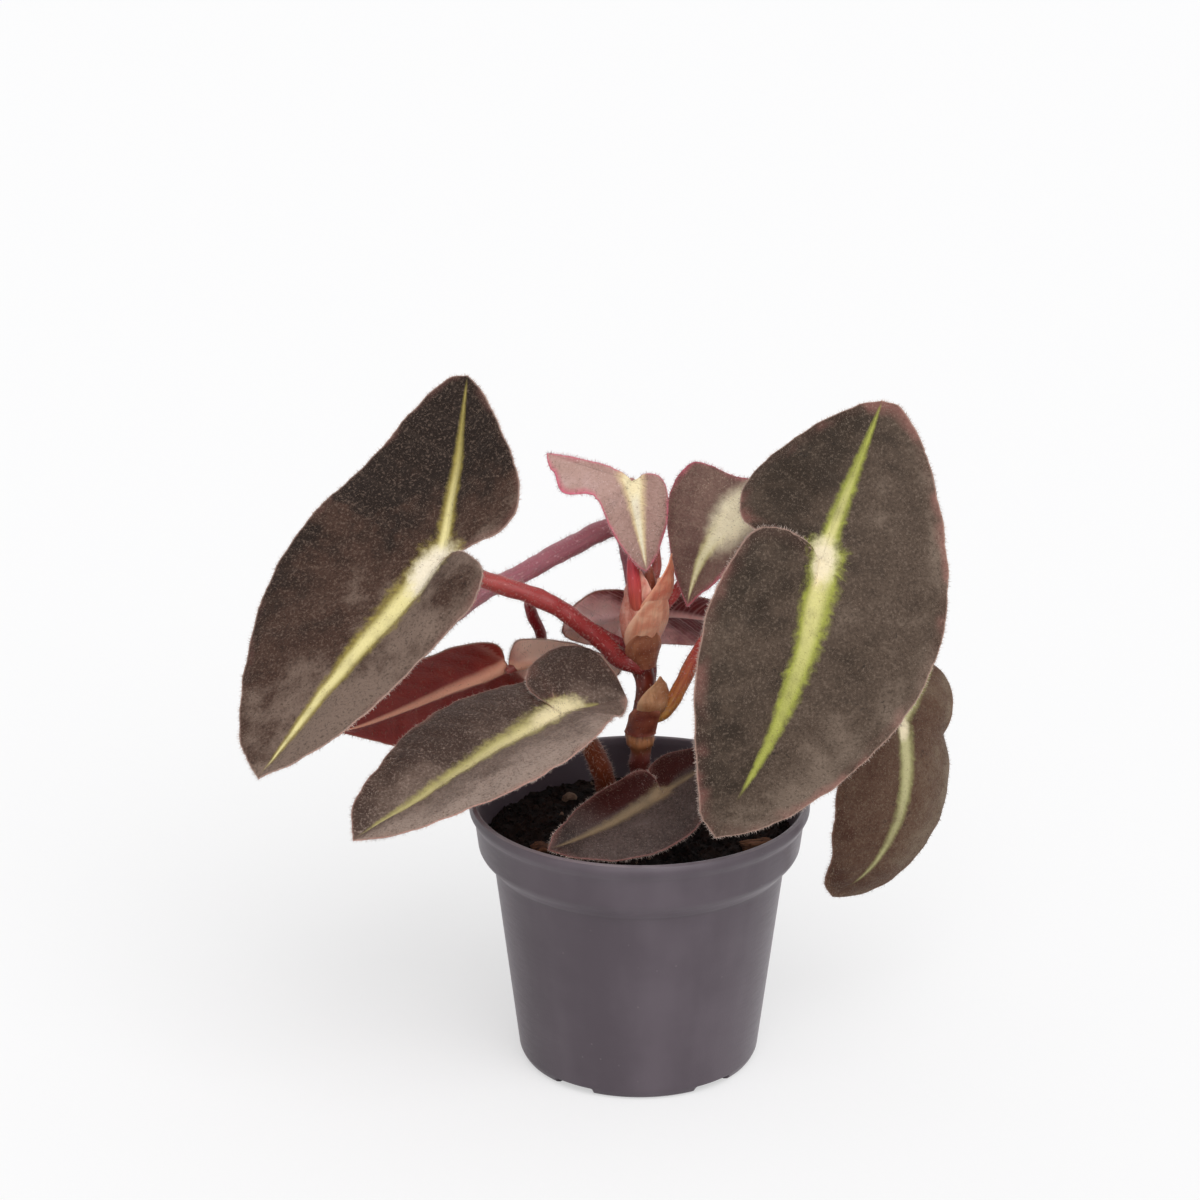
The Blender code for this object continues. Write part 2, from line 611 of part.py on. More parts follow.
def path_directions(path):
    direction = np.gradient(path, axis=0, edge_order=2)
    return direction / np.linalg.norm(direction, axis=1)[:, None]


def rings_along(path, radii, sides):
    """Rings of points square to the path, each turned as little as it can be from the one before."""
    directions = path_directions(path)
    side = np.cross(directions[0], [0.3, 1.0, 0.2])
    rings = []
    angles = np.linspace(0, 2 * math.pi, sides, endpoint=False)
    for centre, direction, radius in zip(path, directions, radii):
        side = side - direction * (side @ direction)
        side = side / np.linalg.norm(side)
        up = np.cross(direction, side)
        rings.append(centre + radius * (np.cos(angles)[:, None] * side + np.sin(angles)[:, None] * up))
    return rings


def tube(name, path, radii, sides, colour, roughness=0.5):
    rings = rings_along(path, radii, sides)
    faces = [tuple(range(sides)), tuple(range((len(rings) - 1) * sides, len(rings) * sides))[::-1]]
    for ring in range(len(rings) - 1):
        low = ring * sides
        high = low + sides
        faces += [(low + i, low + (i + 1) % sides, high + (i + 1) % sides, high + i) for i in range(sides)]
    return finish_piece(name, np.vstack(rings), faces, colour, roughness)


def trimmed(path, radii, tree, thick):
    """Takes off the start of a path, up to a stretch that is clear of the surface it grows from."""
    fine = curve_through(np.column_stack([path, radii]), FINE_STATIONS)
    rings = rings_along(fine[:, :3], fine[:, 3], PETIOLE_SIDES)
    clear = 0
    for i, ring in enumerate(rings):
        clear = clear + 1 if is_clear([*ring, fine[i, :3]], tree, thick) else 0
        if clear == CLEAR_STATIONS:
            start = i + 1 - clear
            return fine[start:, :3], fine[start:, 3]
    raise ValueError("the path never leaves the surface")


def make_stem():
    stem = curve_through(STEM, STEM_STATIONS)
    return tube("main_stem", stem[:, :3], stem[:, 3], STEM_SIDES, STEM_BROWN)


def make_petiole(name, leaf_obj, stem_tree, from_soil):
    leaf_name, colour, ends, route = PETIOLES[name]
    path = curve_through(route + [LEAVES[leaf_name].place], PETIOLE_STATIONS * 4)
    radii = np.linspace(*ends, len(path))
    if not from_soil:
        path, radii = trimmed(path, radii, stem_tree, thick=True)
    path, radii = trimmed(path[::-1], radii[::-1], surface_tree(leaf_obj), thick=False)
    even = curve_through(np.column_stack([path, radii])[::-1], PETIOLE_STATIONS)
    return tube(name, even[:, :3], even[:, 3], PETIOLE_SIDES, colour)


def stem_middle(height):
    """The stem's middle and radius at a height."""
    fine = curve_through(STEM, 300)
    return [float(np.interp(height, fine[:, 2], column)) for column in fine.T]


def make_stipule(name, base, azimuth, length, half_angle, apart, lean, tip):
    """A pointed bract, cupped round the stem, that leans a little outward as it rises."""
    points = []
    for row in range(STIPULE_ROWS + 1):
        rise = row / STIPULE_ROWS
        x, y, _, radius = stem_middle(min(base + length * rise, STEM[-1][2]))
        stand_off = radius + STIPULE_GAP + apart * ease(2 * rise)
        stand_off += length * rise * math.tan(math.radians(lean))
        spread = math.radians(half_angle) * (1 - (1 - tip) * ease(rise))
        for column in range(STIPULE_COLUMNS + 1):
            angle = math.radians(azimuth) + spread * (2 * column / STIPULE_COLUMNS - 1)
            across = (x + stand_off * math.cos(angle), y + stand_off * math.sin(angle))
            points.append((*across, base + length * rise))
    wide = STIPULE_COLUMNS + 1
    faces = []
    for row in range(STIPULE_ROWS):
        for column in range(STIPULE_COLUMNS):
            low = row * wide + column
            faces.append([low, low + wide, low + wide + 1, low + 1])
    solid_points, solid_faces = thickened(np.array(points), faces, STIPULE_THICKNESS)
    return finish_piece(name, solid_points, solid_faces, STIPULE_TAN, 0.8)


def make_chip(name, x, y, length, width, thickness, turn, colour):
    """A rough chip with bevelled edges, which lies flat on the soil."""
    shape = bmesh.new()
    bmesh.ops.create_icosphere(shape, subdivisions=2, radius=0.5)
    spin = math.radians(turn)
    corners = [(v.co.x, v.co.y, v.co.z) for v in shape.verts]
    faces = [tuple(v.index for v in face.verts) for face in shape.faces]
    shape.free()
    points = []
    for px, py, pz in corners:
        rough = 1 + CHIP_ROUGHNESS * (math.sin(9 * px + 5 * py + 2 * x) + math.sin(8 * pz - 7 * py + y))
        px, py, pz = (math.copysign(abs(2 * c) ** CHIP_SQUARENESS / 2, c) * rough for c in (px, py, pz))
        across, along = px * length, py * width
        points.append([across * math.cos(spin) - along * math.sin(spin) + x, 0, pz * thickness])
        points[-1][1] = across * math.sin(spin) + along * math.cos(spin) + y
    lift = max(soil_height(px, py) + GAP - pz for px, py, pz in points)
    return finish_piece(name, [(px, py, pz + lift) for px, py, pz in points], faces, colour, 0.9, 30)


# ----------------------------------------------------------------------------------------------- assembly


def build():
    clear_scene()
    make_pot()
    soil = make_soil()
    stem = make_stem()
    stem_tree = surface_tree(stem)
    make_pocket(soil, "stem_pocket_cutter", STEM[0][:3], STEM[0][3])
    for name, leaf in LEAVES.items():
        make_leaf(name, leaf)
    for name, (leaf_name, _, ends, route) in PETIOLES.items():
        from_soil = route[0][2] < SOIL_LEVEL
        make_petiole(name, bpy.data.objects[leaf_name], stem_tree, from_soil)
        if from_soil:
            make_pocket(soil, name + "_pocket_cutter", route[0], ends[0] + POCKET_LEAN)
    for name, values in STIPULES.items():
        make_stipule(name, *values)
    bud = curve_through(BUD, 8)
    tube("leaf_bud", bud[:, :3], bud[:, 3], PETIOLE_SIDES, PETIOLE_RED)
    for name, values in CHIPS.items():
        make_chip(name, *values)


build()
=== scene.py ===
"""The looks of a small striped begonia in its plastic nursery pot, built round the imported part.

Shapes are worked out in millimetres and degrees in the part's own frame, and meshes are written in metres.
"""

import json
import math
from dataclasses import dataclass

import bmesh
import bpy
import numpy as np
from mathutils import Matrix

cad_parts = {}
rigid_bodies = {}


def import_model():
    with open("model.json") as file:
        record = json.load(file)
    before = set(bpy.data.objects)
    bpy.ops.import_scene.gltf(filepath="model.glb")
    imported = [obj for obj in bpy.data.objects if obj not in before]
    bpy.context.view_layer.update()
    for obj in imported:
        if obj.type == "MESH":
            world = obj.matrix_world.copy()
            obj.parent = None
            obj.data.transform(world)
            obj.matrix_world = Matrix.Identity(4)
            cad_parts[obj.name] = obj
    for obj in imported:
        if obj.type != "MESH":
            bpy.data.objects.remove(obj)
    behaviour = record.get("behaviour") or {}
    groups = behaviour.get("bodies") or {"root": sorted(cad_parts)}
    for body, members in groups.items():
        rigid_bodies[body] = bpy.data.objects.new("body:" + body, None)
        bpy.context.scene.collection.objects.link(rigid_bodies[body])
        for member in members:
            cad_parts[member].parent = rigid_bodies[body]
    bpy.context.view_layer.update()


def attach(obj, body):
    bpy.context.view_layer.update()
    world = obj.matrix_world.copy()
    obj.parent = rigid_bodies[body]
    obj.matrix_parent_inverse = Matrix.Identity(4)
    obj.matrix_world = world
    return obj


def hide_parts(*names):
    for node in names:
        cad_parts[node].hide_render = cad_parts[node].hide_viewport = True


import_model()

MM = 0.001

# ------------------------------------------------------------------------------------ sizes and palettes

# Outline of every leaf, as (along, across) fractions of its own lengths and widths. Along is +1 at the tip,
# 0 at the vein junction and -1 at the end of the large basal lobe.
OUTER_MARGIN = [
    (-1, 0), (-0.98, 0.20), (-0.76, 0.55), (-0.28, 0.87), (0.10, 1), (0.40, 0.93), (0.64, 0.72),
    (0.81, 0.45), (0.93, 0.18), (1, 0),
]
SMALL_LOBE_MARGIN = [
    (0, 0), (0, -0.10), (-0.045, -0.28), (-0.055, -0.55), (0, -0.82), (0.12, -0.97), (0.30, -1),
    (0.53, -0.86), (0.73, -0.58), (0.90, -0.24), (1, 0),
]
LARGE_LOBE_MARGIN = [
    (-1, 0), (-0.92, -0.27), (-0.75, -0.62), (-0.50, -0.93), (-0.29, -1), (-0.13, -0.82), (-0.06, -0.45),
    (0, 0),
]
ROUND_LOBE_MARGIN = [
    (-1, 0), (-0.98, -0.42), (-0.84, -0.80), (-0.56, -1), (-0.29, -1), (-0.12, -0.82), (-0.04, -0.45),
    (0, 0),
]
CURLED_MARGIN = [  # the broad half of the youngest blade, whose large lobe is narrow and curled
    (-1, 0), (-0.98, 0.13), (-0.93, 0.22), (-0.87, 0.27), (-0.80, 0.46), (-0.70, 0.61), (-0.57, 0.60),
    (-0.42, 0.55), (-0.28, 0.63), (-0.12, 0.77), (0.15, 0.74), (0.42, 0.62), (0.64, 0.50), (0.81, 0.34),
    (0.93, 0.16), (1, 0),
]
TUCKED_MARGIN = [  # a broad half that draws in before the end of the large lobe
    (-1, 0), (-0.96, 0.08), (-0.80, 0.24), (-0.50, 0.50), (-0.14, 0.80), (0.15, 0.98), (0.42, 0.94),
    (0.64, 0.74), (0.81, 0.47), (0.93, 0.19), (1, 0),
]
ROUND_MARGIN = [  # a broad half with a fuller tip
    (-1, 0), (-0.97, 0.28), (-0.72, 0.64), (-0.28, 0.86), (0.10, 0.92), (0.40, 0.90), (0.64, 0.77),
    (0.82, 0.52), (0.94, 0.24), (1, 0),
]
ROW_CROWDING = 1.15  # over 1 sets the rows closer together near the junction
TURN_START = 50.0  # the bearing, in degrees, where the broad half begins to swing with the large lobe
TURN_SPAN = 120.0
EAR_SHARE = 0.45  # how far along the small lobe's half the lift of its ear reaches
ROW_STEP = 0.95  # millimetres between the rows and columns of a blade
BLADE_THICKNESS = 0.34
RIB_HEIGHT = 0.85
RIB_WIDTH = 0.85
SIDE_VEIN_HEIGHT = 0.16
SIDE_VEIN_WIDTH = 0.5
SIDE_VEIN_SLOPE = 0.62  # how far a side vein runs forward for each millimetre outward
SIDE_VEIN_GAP = 1.2  # along the midrib, on the smallest blade
SIDE_VEIN_GROWTH = 0.06325  # how much wider the gap gets for each millimetre of the blade's length
SIDE_VEIN_FAN = 24.0  # degrees between the side veins that fan out from the junction
QUILT_HEIGHT = 0.20
GROOVE_DEPTH = 0.28
GROOVE_WIDTH = 0.8
SWELL_HEIGHT = 0.22
MARGIN_RIPPLE = 0.14
MARGIN_TEETH = 0.06


@dataclass
class Tint:
    """The colours of one blade. The tones go from the shaded to the lit parts of its upper side."""

    deep: tuple = (58, 47, 39)
    middle: tuple = (80, 67, 56)
    pale: tuple = (108, 92, 80)
    blush: tuple = (128, 74, 66)
    stripe: tuple = (186, 188, 104)
    stripe_core: tuple = (216, 208, 142)
    heart: tuple = (240, 226, 192)
    under: tuple = (112, 56, 52)
    under_pale: tuple = (168, 110, 104)
    under_rib: tuple = (222, 182, 158)
    tip_light_shift: float = 0.0  # painted light and shade: how much paler the blade gets towards its tip
    side_light_shift: float = 0.0  # painted light and shade: how much paler it gets towards its narrow half
    stripe_width: float = 2.6
    lobe_width: float = 1.5
    stripe_end: float = 1.0  # where the stripe fades out, as a share of the reach
    stripe_bow: float = 0.0  # how far the stripe bows towards the broad half, in mm
    heart_size: float = 1.0
    heart_ahead: float = 0.4  # how far ahead of the junction the palest spot lies, in mm
    lobe_end: float = 1.0  # where the large lobe's stripe fades out, as a share of the lobe
    core_end: float = 0.45  # how much of the paler core is left at the end of the stripe
    blush_width: float = 1.6
    blush_share: float = 0.35
    under_lobe: tuple = None  # a colour of its own for the large lobe, seen from below
    small_lobe: tuple = None  # a colour of its own for the small lobe
    under_veins: float = 0.15
    under_stripe: float = 1.6
    edge: tuple = (138, 104, 90)
    frosted: float = 1.0  # how strongly the pale points of its hairs show
    young: float = 0.0  # 0 on a grown blade and 1 on one that has just opened


@dataclass
class Leaf:
    """One lopsided begonia blade, with the same measures as the part's own."""

    place: tuple
    heading: float
    dip: float
    roll: float
    side: int
    reach: float
    lobe: float
    outer: float
    inner: float
    back: float
    turn: float = 10.0
    shoulder: float = 1.0
    sweep: float = 0.0
    droop: float = 0.0
    back_droop: float = 0.0
    twist: float = 0.0
    back_twist: float = 0.0
    fold: float = 10.0
    curl: float = 20.0
    in_fold: float = 12.0
    in_curl: float = 25.0
    back_fold: float = 5.0
    back_curl: float = 15.0
    ear: float = 20.0
    overlap: float = 0.0
    blunt: float = 0.0  # 1 gives a broad rounded tip
    round_lobe: float = 0.0  # 1 gives the large lobe's inner half a fuller end
    lobe_taper: float = 0.0  # narrows the large lobe towards its end
    slim: float = 0.0  # narrows the small lobe's half between its ear and the tip
    outline: list = None  # an outline of its own for the broad half
    lobe_fold: float = None  # the fold of the broad half at the end of the large lobe
    hair: float = 1.0
    tint: Tint = None


GROWN = Tint()
LEAVES = {
    "leaf_right_large": Leaf(
        place=(30, -20, 100), heading=-107, dip=49, roll=-24, side=1, reach=51, lobe=30, outer=24, inner=17,
        back=19, turn=9, sweep=-5, droop=51, back_droop=-5, twist=-6, back_twist=9, fold=7, curl=30,
        in_fold=17, in_curl=24, back_fold=-10, back_curl=36, ear=28, overlap=1, blunt=0.4, lobe_taper=0.16,
        tint=Tint(
            deep=(48, 37, 28), middle=(80, 65, 54), pale=(122, 105, 92), blush=(176, 116, 108),
            stripe=(166, 170, 74), stripe_core=(224, 216, 146), stripe_width=3.25, lobe_width=1.7,
            stripe_end=0.86, stripe_bow=1.0, side_light_shift=-0.12, tip_light_shift=0.05, heart_size=0.9,
            blush_width=2.6, blush_share=0.42, core_end=0.12, edge=(196, 162, 148),
        ),
    ),
    "leaf_left_large": Leaf(
        place=(-34, -5, 94.5), heading=-137, dip=38, roll=-13, side=-1, reach=49, lobe=36, outer=27, inner=17,
        back=14, turn=29, sweep=2, back_droop=-19, twist=-15, back_twist=-3, fold=9, curl=7, in_curl=17,
        back_fold=9, back_curl=7, ear=27, blunt=0.5, lobe_taper=0.22, slim=0.30,
        tint=Tint(
            deep=(26, 12, 4), middle=(66, 44, 34), pale=(126, 106, 94), blush=(150, 104, 96),
            stripe=(158, 142, 72), stripe_core=(242, 229, 164), stripe_width=3.5, lobe_width=1.6,
            side_light_shift=0.17, tip_light_shift=0.33, heart_size=1.05, heart_ahead=2.6, core_end=0.9,
            heart=(246, 234, 210), stripe_bow=1.2, blush_share=0.3, frosted=0.7, edge=(190, 160, 148),
        ),
    ),
    "leaf_front_left": Leaf(
        place=(-13.5, -13, 69.5), heading=-146, dip=15, roll=-11, side=1, reach=43, lobe=12.3, outer=20,
        inner=16, back=16, turn=12, droop=8, back_droop=9, twist=-9, back_twist=-12, fold=29, curl=10,
        in_fold=13, in_curl=31, back_fold=16, back_curl=36, ear=-5, overlap=3.5, blunt=0.7, round_lobe=1.0,
        lobe_fold=14, outline=TUCKED_MARGIN,
        tint=Tint(
            deep=(66, 50, 43), middle=(108, 90, 80), pale=(160, 140, 128), blush=(186, 130, 116),
            stripe=(170, 160, 100), stripe_core=(228, 216, 160), heart=(236, 222, 178), stripe_width=3.3,
            lobe_end=0.6, stripe_bow=0.3, side_light_shift=-0.28, tip_light_shift=0.12, edge=(190, 150, 138),
        ),
    ),
    "leaf_back_left": Leaf(
        place=(-23.5, 14.5, 68), heading=-191, dip=28, roll=54, side=-1, reach=35, lobe=20, outer=18,
        inner=11, back=12, turn=24, sweep=-2, droop=1, back_droop=26, twist=-12, fold=9, curl=27,
        in_fold=8, back_fold=-1, back_curl=23, ear=2,
        tint=Tint(
            under=(108, 20, 10), under_pale=(140, 50, 36), under_rib=(228, 168, 140), under_veins=0.02,
            under_stripe=2.7, under_lobe=(255, 214, 194),
        ),
    ),
    "leaf_front_low": Leaf(
        place=(4, -12, 54.5), heading=-144, dip=19, roll=-15, side=1, reach=23, lobe=15, outer=11, inner=7,
        back=8, turn=1, sweep=-3, back_droop=3, twist=-20, back_twist=-2, fold=14, in_curl=24, back_fold=2,
        back_curl=20, ear=18, blunt=0.3,
        tint=Tint(
            deep=(48, 37, 34), middle=(80, 67, 63), pale=(114, 99, 94), blush=(160, 112, 104),
            stripe=(124, 106, 82), stripe_core=(146, 126, 98), heart=(150, 128, 100), stripe_width=1.5,
            lobe_width=0.8, small_lobe=(50, 4, 0), edge=(160, 112, 106),
        ),
    ),
    "leaf_right_hanging": Leaf(
        place=(46, 3, 61.5), heading=-78, dip=57, roll=-21, side=1, reach=37, lobe=17, outer=15, inner=12,
        back=11, turn=43, sweep=-5, droop=71, back_droop=23, twist=16, back_twist=-13, fold=2, curl=50,
        in_fold=6, in_curl=30, ear=19, blunt=0.7,
        tint=Tint(
            deep=(68, 40, 28), middle=(90, 66, 52), pale=(120, 103, 85), blush=(120, 84, 62),
            stripe=(150, 146, 98), stripe_core=(196, 190, 142), stripe_width=1.7, lobe_width=1.1,
            stripe_end=0.9, stripe_bow=1.2, side_light_shift=-0.12,
        ),
    ),
    "leaf_top_centre": Leaf(
        place=(-1.5, 0, 107), heading=-60, dip=73, roll=9, side=-1, reach=16, lobe=16.2, outer=10.5, inner=7,
        back=1.2, turn=65, shoulder=1.1, sweep=-1, droop=11, back_droop=10, twist=15, back_twist=12, fold=20,
        curl=8, in_fold=4, in_curl=30, ear=0, hair=1.3, outline=CURLED_MARGIN,
        tint=Tint(
            deep=(156, 122, 112), middle=(182, 148, 138), pale=(206, 174, 170), blush=(206, 92, 118),
            stripe=(240, 218, 166), stripe_core=(255, 248, 218), heart=(250, 234, 190), stripe_width=2.2,
            core_end=0.9, lobe_end=0.2, lobe_width=0.05, young=1.0, under=(176, 112, 110),
            under_pale=(206, 158, 152), blush_width=1.2, blush_share=0.75, heart_size=0.8,
            edge=(218, 112, 134),
        ),
    ),
    "leaf_top_right": Leaf(
        place=(18, 3, 100.5), heading=-171, dip=34, roll=-53, side=-1, reach=18, lobe=6, outer=15, inner=6,
        back=7, turn=49, sweep=-7, droop=28, back_droop=15, twist=-6, fold=9, in_fold=15, in_curl=19,
        hair=1.3, outline=ROUND_MARGIN,
        tint=Tint(
            deep=(98, 70, 64), middle=(126, 98, 88), pale=(170, 150, 130), blush=(196, 92, 112),
            stripe=(214, 204, 148), stripe_core=(252, 244, 208), stripe_width=2.5, lobe_width=1.0, young=0.6,
            blush_width=1.2, blush_share=0.7, stripe_bow=0.6, heart_size=2.0, heart=(250, 238, 204),
            edge=(208, 104, 124),
        ),
    ),
    "leaf_back": Leaf(
        place=(1.5, 13.5, 78.5), heading=-3, dip=-3, roll=-53, side=1, reach=25, lobe=16, outer=13, inner=8,
        back=9, turn=9, shoulder=1.1, sweep=1, droop=29, back_droop=10, back_twist=-12, fold=15, curl=17,
        in_fold=8, in_curl=34, back_curl=19, ear=10,
        tint=Tint(
            under=(112, 48, 50), under_pale=(255, 216, 214), under_rib=(250, 206, 200), young=0.3,
            under_veins=0.2, tip_light_shift=-0.9, side_light_shift=-0.3,
        ),
    ),
    "leaf_left_behind": Leaf(
        place=(-41, 22, 72), heading=155, dip=30, roll=0, side=-1, reach=24, lobe=10, outer=11, inner=8,
        back=7, turn=12, droop=20, back_droop=10, fold=12, curl=25, tint=GROWN,
    ),
}

# Main stem: (x, y, z, radius) along its middle, from its foot in the soil to its growing tip
STEM = [
    (0.0, 3.0, 37.5, 1.9), (0.1, 3.0, 50.0, 1.9), (0.1, 3.0, 56.3, 1.85), (0.1, 3.0, 57.6, 2.5),
    (0.1, 3.0, 59.2, 2.6), (0.3, 3.0, 60.6, 2.1), (1.0, 3.0, 63.5, 2.3), (1.6, 3.0, 65.5, 2.5),
    (1.0, 3.0, 68.5, 1.8), (0.4, 3.0, 73.0, 1.9), (0.2, 2.8, 78.0, 2.1), (0.8, 2.5, 84.0, 1.8),
    (1.4, 2.2, 88.5, 1.2), (1.6, 2.0, 90.5, 0.6),
]
STEM_COLOURS = [  # dark red at the soil, brown and tan round the joints, warmer near the tip
    (46, 18, 14), (50, 18, 14), (58, 20, 16), (66, 22, 18), (80, 26, 22), (96, 34, 30), (112, 46, 36),
    (188, 126, 80), (104, 38, 26), (110, 44, 28), (118, 54, 34), (106, 34, 22), (100, 24, 18),
    (98, 22, 16), (106, 34, 24), (134, 58, 42), (150, 72, 52), (158, 84, 62), (164, 92, 72),
]
DOME = [(0.25, 0.55), (0.75, 0.85)]  # the domed ends of a stalk: depth and width, as shares of its radius

# Petioles: their leaf, the colours from the stem to the blade, the radius at each end and the middle line.
# The first point is inside the stem or the soil, and the last stretch rises to the leaf's vein junction.
PETIOLES = {
    "petiole_right_large": (
        "leaf_right_large", [(202, 154, 72), (198, 78, 70), (204, 62, 68), (210, 62, 74)], (1.3, 1.3),
        [(1.2, 3.0, 62.5), (5.3, 2.6, 65.0), (10.4, 0.0, 76.3), (19.0, -4.5, 90.0), (26.5, -11.0, 97.0)],
    ),
    "petiole_left_large": (
        "leaf_left_large", [(136, 40, 38), (146, 40, 40), (168, 58, 56), (206, 104, 96)], (1.65, 1.55),
        [(0.3, 2.8, 72.6), (-3.7, 1.8, 74.0), (-7.2, 1.0, 78.0), (-15.6, 0.0, 84.8), (-27.0, -1.0, 89.5)],
    ),
    "petiole_front_left": (
        "leaf_front_left", [(66, 16, 4), (96, 34, 12), (116, 54, 28), (140, 86, 58)], (2.0, 1.7),
        [(-4.6, -1.6, 38.5), (-4.7, -1.7, 43.5), (-6.2, -3.6, 54.0), (-9.5, -6.5, 62.5)],
    ),
    "petiole_back_left": (
        "leaf_back_left", [(140, 28, 34), (150, 28, 38), (140, 30, 38), (160, 84, 76)], (1.05, 1.0),
        [(0.3, 2.8, 75.0), (-3.5, 5.5, 75.4), (-8.0, 7.5, 77.2), (-13.5, 9.0, 79.6), (-17.6, 10.0, 81.6),
         (-19.4, 11.0, 81.2), (-19.1, 12.4, 78.2), (-17.6, 14.6, 73.6), (-18.4, 17.0, 69.4)],
    ),
    "petiole_front_low": (
        "leaf_front_low", [(80, 30, 20), (96, 44, 30), (110, 58, 44), (120, 78, 64)], (1.2, 0.9),
        [(1.5, -2.0, 38.5), (2.0, -3.0, 43.0), (3.0, -6.5, 48.0)],
    ),
    "petiole_right_hanging": (
        "leaf_right_hanging", [(110, 40, 40), (124, 52, 56), (136, 70, 70), (150, 90, 84)], (1.3, 1.0),
        [(0.1, 3.0, 47.0), (6.0, 6.5, 47.8), (16.0, 10.0, 51.5), (27.0, 12.0, 58.0), (38.0, 10.5, 64.0),
         (43.5, 7.0, 64.5)],
    ),
    "petiole_top_centre": (
        "leaf_top_centre", [(168, 82, 74), (176, 92, 86), (186, 110, 104), (200, 140, 128)], (0.9, 0.7),
        [(1.2, 2.3, 86.5), (2.8, 5.2, 90.0), (1.5, 6.2, 97.0), (-1.2, 4.0, 104.5)],
    ),
    "petiole_top_right": (
        "leaf_top_right", [(176, 60, 58), (180, 62, 60), (176, 90, 70), (170, 120, 90)], (1.0, 0.8),
        [(0.4, 2.8, 80.0), (4.5, 3.2, 83.5), (8.5, 6.0, 88.5), (14.0, 8.0, 95.5)],
    ),
    "petiole_back": (
        "leaf_back", [(110, 44, 40), (124, 52, 52), (136, 70, 70), (150, 90, 90)], (1.2, 1.0),
        [(1.6, 3.0, 65.5), (1.8, 6.5, 68.0), (1.7, 9.8, 74.0)],
    ),
    "petiole_left_behind": (
        "leaf_left_behind", [(140, 74, 82), (176, 108, 118), (216, 142, 156), (236, 176, 184)], (1.9, 1.6),
        [(0.6, 2.6, 81.5), (-0.6, 6.0, 86.0), (-3.5, 9.0, 95.5), (-12.3, 11.5, 91.2), (-21.1, 14.0, 85.2),
         (-28.2, 16.5, 80.8), (-36.0, 19.5, 73.5)],
    ),
}

# Bracts round the stem: (height of the base, azimuth, length, half angle at the base, extra distance from
# the stem, outward lean, width at the tip as a fraction of the base, colour, paler colour)
BRACTS = {
    "low_node": (59.8, -100, 5.6, 84, 0.15, 2, 0.50, (112, 46, 32), (144, 78, 54)),
    "right_node": (64.0, -46, 7.4, 88, 0.9, 9, 0.10, (172, 116, 80), (204, 154, 114)),
    "middle": (72.4, -76, 9.8, 88, 0.8, 4, 0.04, (128, 66, 42), (164, 102, 72)),
    "upper_front": (74.6, -62, 15.4, 92, 1.45, 4, 0.04, (214, 134, 106), (232, 174, 144)),
    "upper_left": (74.6, -150, 15.0, 92, 1.3, 3, 0.04, (204, 112, 94), (232, 168, 150)),
    "tip_right": (80.6, -34, 13.6, 86, 1.7, 8, 0.02, (206, 114, 90), (228, 158, 128)),
    "tip_left": (81.6, -128, 11.0, 84, 1.6, 4, 0.03, (208, 110, 96), (236, 172, 152)),
}
BRACT_THICKNESS = 0.24
BRACT_ROWS = 26
BRACT_COLUMNS = 22
RUFFLE_HEIGHT = 0.10
KEEL_HEIGHT = 0.16
KEEL_WIDTH = 0.16  # as a share of half the bract's width
BUD = [(-0.3, 0.2, 82.5, 1.1), (-0.9, -1.0, 87.5, 1.25), (-1.4, -1.0, 92.0, 0.95), (-1.7, -0.5, 96.6, 0.12)]
BUD_COLOURS = [(196, 104, 80), (200, 82, 70), (206, 66, 78), (220, 92, 108)]

# Chips that lie on the soil: (x, y, length, width, thickness, turn)
CHIPS = {
    "bark_chip_right": (20.5, -6.0, 5.6, 3.4, 1.6, 20),
    "bark_chip_left": (-17.0, -8.0, 4.4, 2.8, 1.4, 110),
    "bark_chip_back": (8.0, 18.5, 5.0, 3.0, 1.5, 65),
    "perlite_grain": (-12.5, 15.0, 2.4, 2.0, 1.6, 0),
}
CHIP_ROUGHNESS = 0.11
CHIP_SQUARENESS = 0.75
CHIP_SINK = 0.35  # how deep a chip presses into the soil

# Pot
POT_OUTSIDE = [
    (19.8, 0.0), (20.8, 0.4), (21.4, 1.6), (25.6, 36.0), (25.8, 37.0), (27.0, 38.4), (27.9, 39.3),
    (28.4, 40.2), (29.05, 45.4), (29.5, 46.1), (30.0, 47.0), (30.0, 47.7),
]
POT_INSIDE = [
    (29.7, 48.3), (29.2, 48.6), (28.7, 48.3), (28.4, 47.4), (27.5, 40.7), (27.1, 39.9), (26.2, 38.9),
    (24.9, 37.5), (24.7, 36.3), (20.6, 3.0), (19.6, 1.9),
]
POT_SEGMENTS = 180
POT_FLOOR = 1.9
SHADED_CREASE_HEIGHT = 37.0  # where a thin line of painted shade darkens the crease under the rim band
FOOT_COUNT = 5
RECESS_ANGLE = 22.0
RECESS_HEIGHT = 1.4
RECESS_INNER_RADIUS = 12.0
FIRST_RECESS = -51.0
RECESS_EDGE = 1.2  # degrees over which a recess wall rises
DRAIN_HOLE_RADIUS = 2.2
DRAIN_HOLE_PLACE = 17.0
HOLE_SIDES = 32

# Soil
SOIL_LEVEL = 41.0
SOIL_RADIUS = 27.3
SOIL_FOOT = 2.2
SOIL_GAP = 0.16  # between the soil and the pot's wall
SOIL_RINGS = 56
SOIL_SEGMENTS = 150
SOIL_LUMPS = {3.2: (0.30, 11), 1.5: (0.22, 12), 0.9: (0.12, 13)}  # size: height and seed
MOUND_HEIGHT = 0.9

# Stage, in metres and degrees. The lamps give strength, size of the sky patch and turn.
FLOOR_SIZE = 4.0
LAMPS = {"key": (1.30, 55, (38, 16, 0)), "fill": (0.55, 80, (68, 0, 18))}
CAMERA_PLACE = (0, -0.5523, 0.28244)
CAMERA_PITCH = 19.63
CAMERA_TURN = 0.72
CAMERA_LENS = 102


# ------------------------------------------------------------------------------------------ mesh helpers


